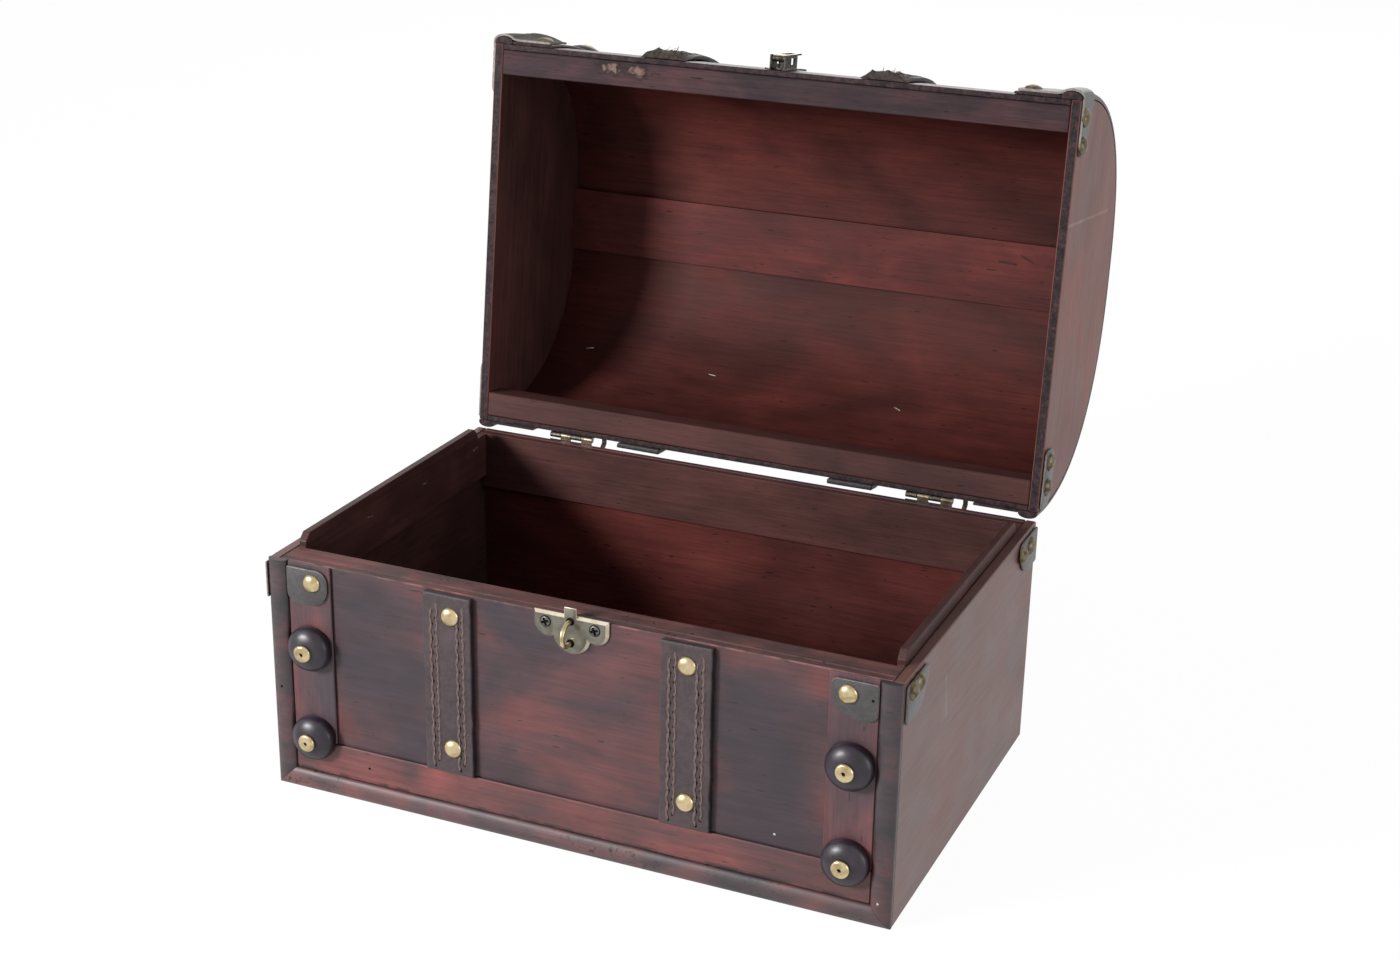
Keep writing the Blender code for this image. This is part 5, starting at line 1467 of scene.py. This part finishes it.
# %% Staple
STAPLE_RADIUS, WIRE = 6.0 * MM, 1.3 * MM
STAPLE_Y, STAPLE_Z = -119.6 * MM, 126.0 * MM
STAPLE_LEG = 3.6 * MM
STAPLE_HOLE_SHADE = 2.2 * MM
bare_bench()
bpy.ops.mesh.primitive_torus_add(major_segments=48, minor_segments=14, major_radius=STAPLE_RADIUS,
                                 minor_radius=WIRE, rotation=(math.pi / 2, 0.0, math.pi / 2))
loop = sawn(name_it("wire_staple"), ORIGIN, FORWARD)
pulled(loop, lambda place, normal: normal.y > 0.9 and abs(place.y) < 0.05 * MM, (0.0, STAPLE_LEG, 0.0))
lay(loop, lambda x, y, z: (CATCH_X + x, STAPLE_Y + y, STAPLE_Z + z))
fix(wear(smooth(face_out(loop)), staple_gold), "base", "latch_brass", "staple")


def shade_sink(name, radius, across, height):
    """A shallow dish in the face of the plate, painted black as the shade in a hole round a staple leg or a
    screw.
    """
    sink = rod(name, radius, 0.3 * MM, sides=28)
    pick(sink, "FACE", lambda place, normal: normal.z > 0.9)
    bpy.ops.mesh.inset(thickness=0.3 * MM)
    bpy.ops.transform.translate(value=(0.0, 0.0, -0.1 * MM))
    done()
    lay(sink, lambda x, s, h: on_front(CATCH_X + across + x, height + s, h + PLATE_THICK))
    fix(wear(smooth(face_out(sink)), hole_shade_and_pin_black), "base", "latch_brass")


for name, foot in (("upper", STAPLE_RADIUS), ("lower", -STAPLE_RADIUS)):
    shade_sink(name + "_staple_hole_shade", STAPLE_HOLE_SHADE, 0.0, STAPLE_Z + foot)
print("staple with two holes")

# %% [markdown]
# ## Screws of the catch and the hinges
# Two cross-head screws hold the catch plate, and two hold the lower leaf of each hinge at the back.
# A dark cross could be painted on, but a cut one keeps its depth from every side.
# So two bars are cut out of a rounded disc, and the faces of the cut are painted black as the shade in the
# cross.

# %% Screws
SCREW_RADIUS, SINK_SHADE_RADIUS = 2.7 * MM, 3.1 * MM
CATCH_SCREW_X = (("left", -14.0 * MM), ("right", 13.6 * MM))
HINGE_SCREW_SHARES, HINGE_SCREW_RISE = (0.2, 0.8), 0.4
SCREW_Z = PLATE_TOP - 5.4 * MM
SCREW_RISE = PLATE_THICK + 0.2 * MM
SLOT_HALF, SLOT_WIDE, SLOT_FLOOR = 2.2 * MM, 0.65 * MM, -0.1 * MM
SLOT_TURN = 0.35
master_screw = rod("screw_head", SCREW_RADIUS, 1.0 * MM, sides=28)
rounded(master_screw, lambda place, run: place.z > 0.4 * MM, 0.45 * MM, 3)
for quarter in (0.0, math.pi / 2):
    bar = block("slot", (-SLOT_HALF, -SLOT_WIDE, SLOT_FLOOR), (SLOT_HALF, SLOT_WIDE, 1.0 * MM))
    bar.data.transform(Matrix.Rotation(quarter + SLOT_TURN, 4, "Z"))
    shape_with(master_screw, "BOOLEAN", operation="DIFFERENCE", object=bar, solver="EXACT")
    bpy.data.objects.remove(bar)


def in_slot(face):
    """Whether a face of the screw is part of the cross."""
    return -0.2 * MM < face.center.z < 0.35 * MM and face.center.xy.length < SLOT_HALF + 0.05 * MM


second_finish(wear(smooth(face_out(master_screw), 30.0), screw_steel, hole_shade_and_pin_black), in_slot)
for name, across in CATCH_SCREW_X:
    # A black disc just wider than each head is the painted shade in the gap round the screw.
    shade_sink(name + "_catch_sink_shade", SINK_SHADE_RADIUS, across, SCREW_Z)
    screw = spare(master_screw, name + "_catch_screw")
    lay(screw, lambda x, s, h: on_front(CATCH_X + across + x, SCREW_Z + s, h + SCREW_RISE))
    fix(face_out(screw), "base", "latch_brass")
for side in ("left", "right"):
    low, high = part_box(side + "_hinge_body_leaf")
    level = low[2] * (1.0 - HINGE_SCREW_RISE) + high[2] * HINGE_SCREW_RISE
    for number, share in enumerate(HINGE_SCREW_SHARES):
        screw = spare(master_screw, side + "_hinge_screw_" + str(number + 1))
        across = low[0] + (high[0] - low[0]) * share
        lay(screw, lambda x, s, h: (across - x, high[1] + h - 0.1 * MM, level + s))
        fix(wear(face_out(screw), hinge_brass), "base", "hinge_brass")
bpy.data.objects.remove(master_screw)
print("two catch screws and four hinge screws")

# %% [markdown]
# ## Small marks of making
# Wire staples are left in the lid and in the left lip, and pin nails, bright or black, in the front.
# They could be left out at this size, but they tell that the chest was put together by hand.
# A staple's crown is a small rounded bar, and a pin is a small rounded disc.

# %% Wire staples
LEFT_LIP_X = -167.0 * MM
LID_WIRES = ((-145.8, 275.4), (-58.1, 281.8), (65.5, 285.8))
LIP_WIRES = ((90.0, 128.4), (29.8, 127.1), (-31.3, 127.8))
wire_crown = block("wire_crown", (-2.6 * MM, -0.35 * MM, -0.3 * MM), (2.6 * MM, 0.35 * MM, 0.45 * MM))
wear(smooth(eased(wire_crown, 0.25 * MM)), bright_wire)


def lid_inside(x, s, height):
    """Across, along the arch, and inwards from the skin's inner face."""
    return over_lid(x, s, -SKIN_THICK - height)


def on_left_lip(y, z, height):
    """Along the depth, up, and inwards from the left lip board."""
    return (LEFT_LIP_X + height, y, z)


def shoot(name, place, turn, rule, body):
    """Leaves one wire staple at a place in millimetres."""
    crown = spare(wire_crown, name)
    move = Matrix.Translation((place[0] * MM, place[1] * MM, 0.0))
    crown.data.transform(move @ Matrix.Rotation(turn, 4, "Z"))
    fix(face_out(lay(crown, rule)), body, "pin_steel")


for number, place in enumerate(LID_WIRES):
    shoot("lid_wire_" + str(number + 1), place, 0.3 * number - 0.2, lid_inside, "lid")
for number, place in enumerate(LIP_WIRES):
    shoot("lip_wire_" + str(number + 1), place, 0.2 - 0.2 * number, on_left_lip, "base")
bpy.data.objects.remove(wire_crown)
print(len(LID_WIRES) + len(LIP_WIRES), "wire staples")

# %% Pins
# Millimetres across, up and out from the trim's back, and a finish.
PINS = ((163.1, 123.1, 3.0, hole_shade_and_pin_black), (170.9, 14.1, 3.9, bright_wire), (150.9, 2.5, 3.0, bright_wire),
        (113.9, 37.1, -0.3, bright_wire), (-171.9, 60.0, 4.0, hole_shade_and_pin_black), (-120.0, 20.5, 1.4, hole_shade_and_pin_black))
master_pin = rod("pin_head", 0.7 * MM, 0.5 * MM, sides=12)
rounded(master_pin, lambda place, run: place.z > 0.2 * MM, 0.2 * MM, 2)
for number, (across, height, out, finish) in enumerate(PINS):
    pin = wear(spare(master_pin, "pin_" + str(number + 1)), finish)
    lay(pin, lambda x, s, h: on_front(across * MM + x, height * MM + s, out * MM + h))
    fix(face_out(pin), "base", "pin_steel")
bpy.data.objects.remove(master_pin)
print(len(PINS), "pins")

# %% [markdown]
# ## Frayed leather
# Where the lid straps end at the front rim the leather was torn, not cut, and a few fibres stand up.
# Hair particles could make them, but the export needs meshes.
# So each fibre is a thin cone, bent in a bow, and its length and lean are drawn by luck from a fixed seed.

# %% Frayed ends
FIBRES = 30


def torn_fibre(low, high):
    """One fibre near the middle of a strap's front end, on the bench."""
    bare_bench()
    bpy.ops.mesh.primitive_cone_add(vertices=5, radius1=luck.uniform(0.15, 0.4) * MM, radius2=0.05 * MM,
                                    depth=1.0)
    fibre = name_it("fibre")
    pick(fibre, "FACE", all_of)
    bpy.ops.mesh.subdivide(number_cuts=2)
    done()
    length = 1.5 * MM + 4.5 * MM * luck.random() ** 2
    across = luck.gauss(low + 0.42 * (high - low), 4.5 * MM)
    along = luck.uniform(4.0, 16.0) * MM
    lean = (luck.uniform(-1.6, 1.6), luck.uniform(-0.6, 1.2))
    upright = luck.uniform(0.05, 0.6)
    curl = luck.uniform(-2.5, 2.5)

    def bow(x, y, z):
        """From the upright cone, one unit long, to the bent fibre."""
        up = z + 0.5
        return (x + across + up * length * lean[0] + curl * MM * up ** 2, y + along + up * length * lean[1],
                STRAP_THICK - 0.2 * MM + up * length * upright)

    return lay(fibre, bow)


for side in ("left", "right"):
    tuft = joined(side + "_frayed_end", *[torn_fibre(*straps[side]) for number in range(FIBRES)])
    fix(wear(smooth(lay(tuft, strap_on_lid)), lid_strap_leather), "lid", "black_leather")
print("frayed ends with", 2 * FIBRES, "fibres")
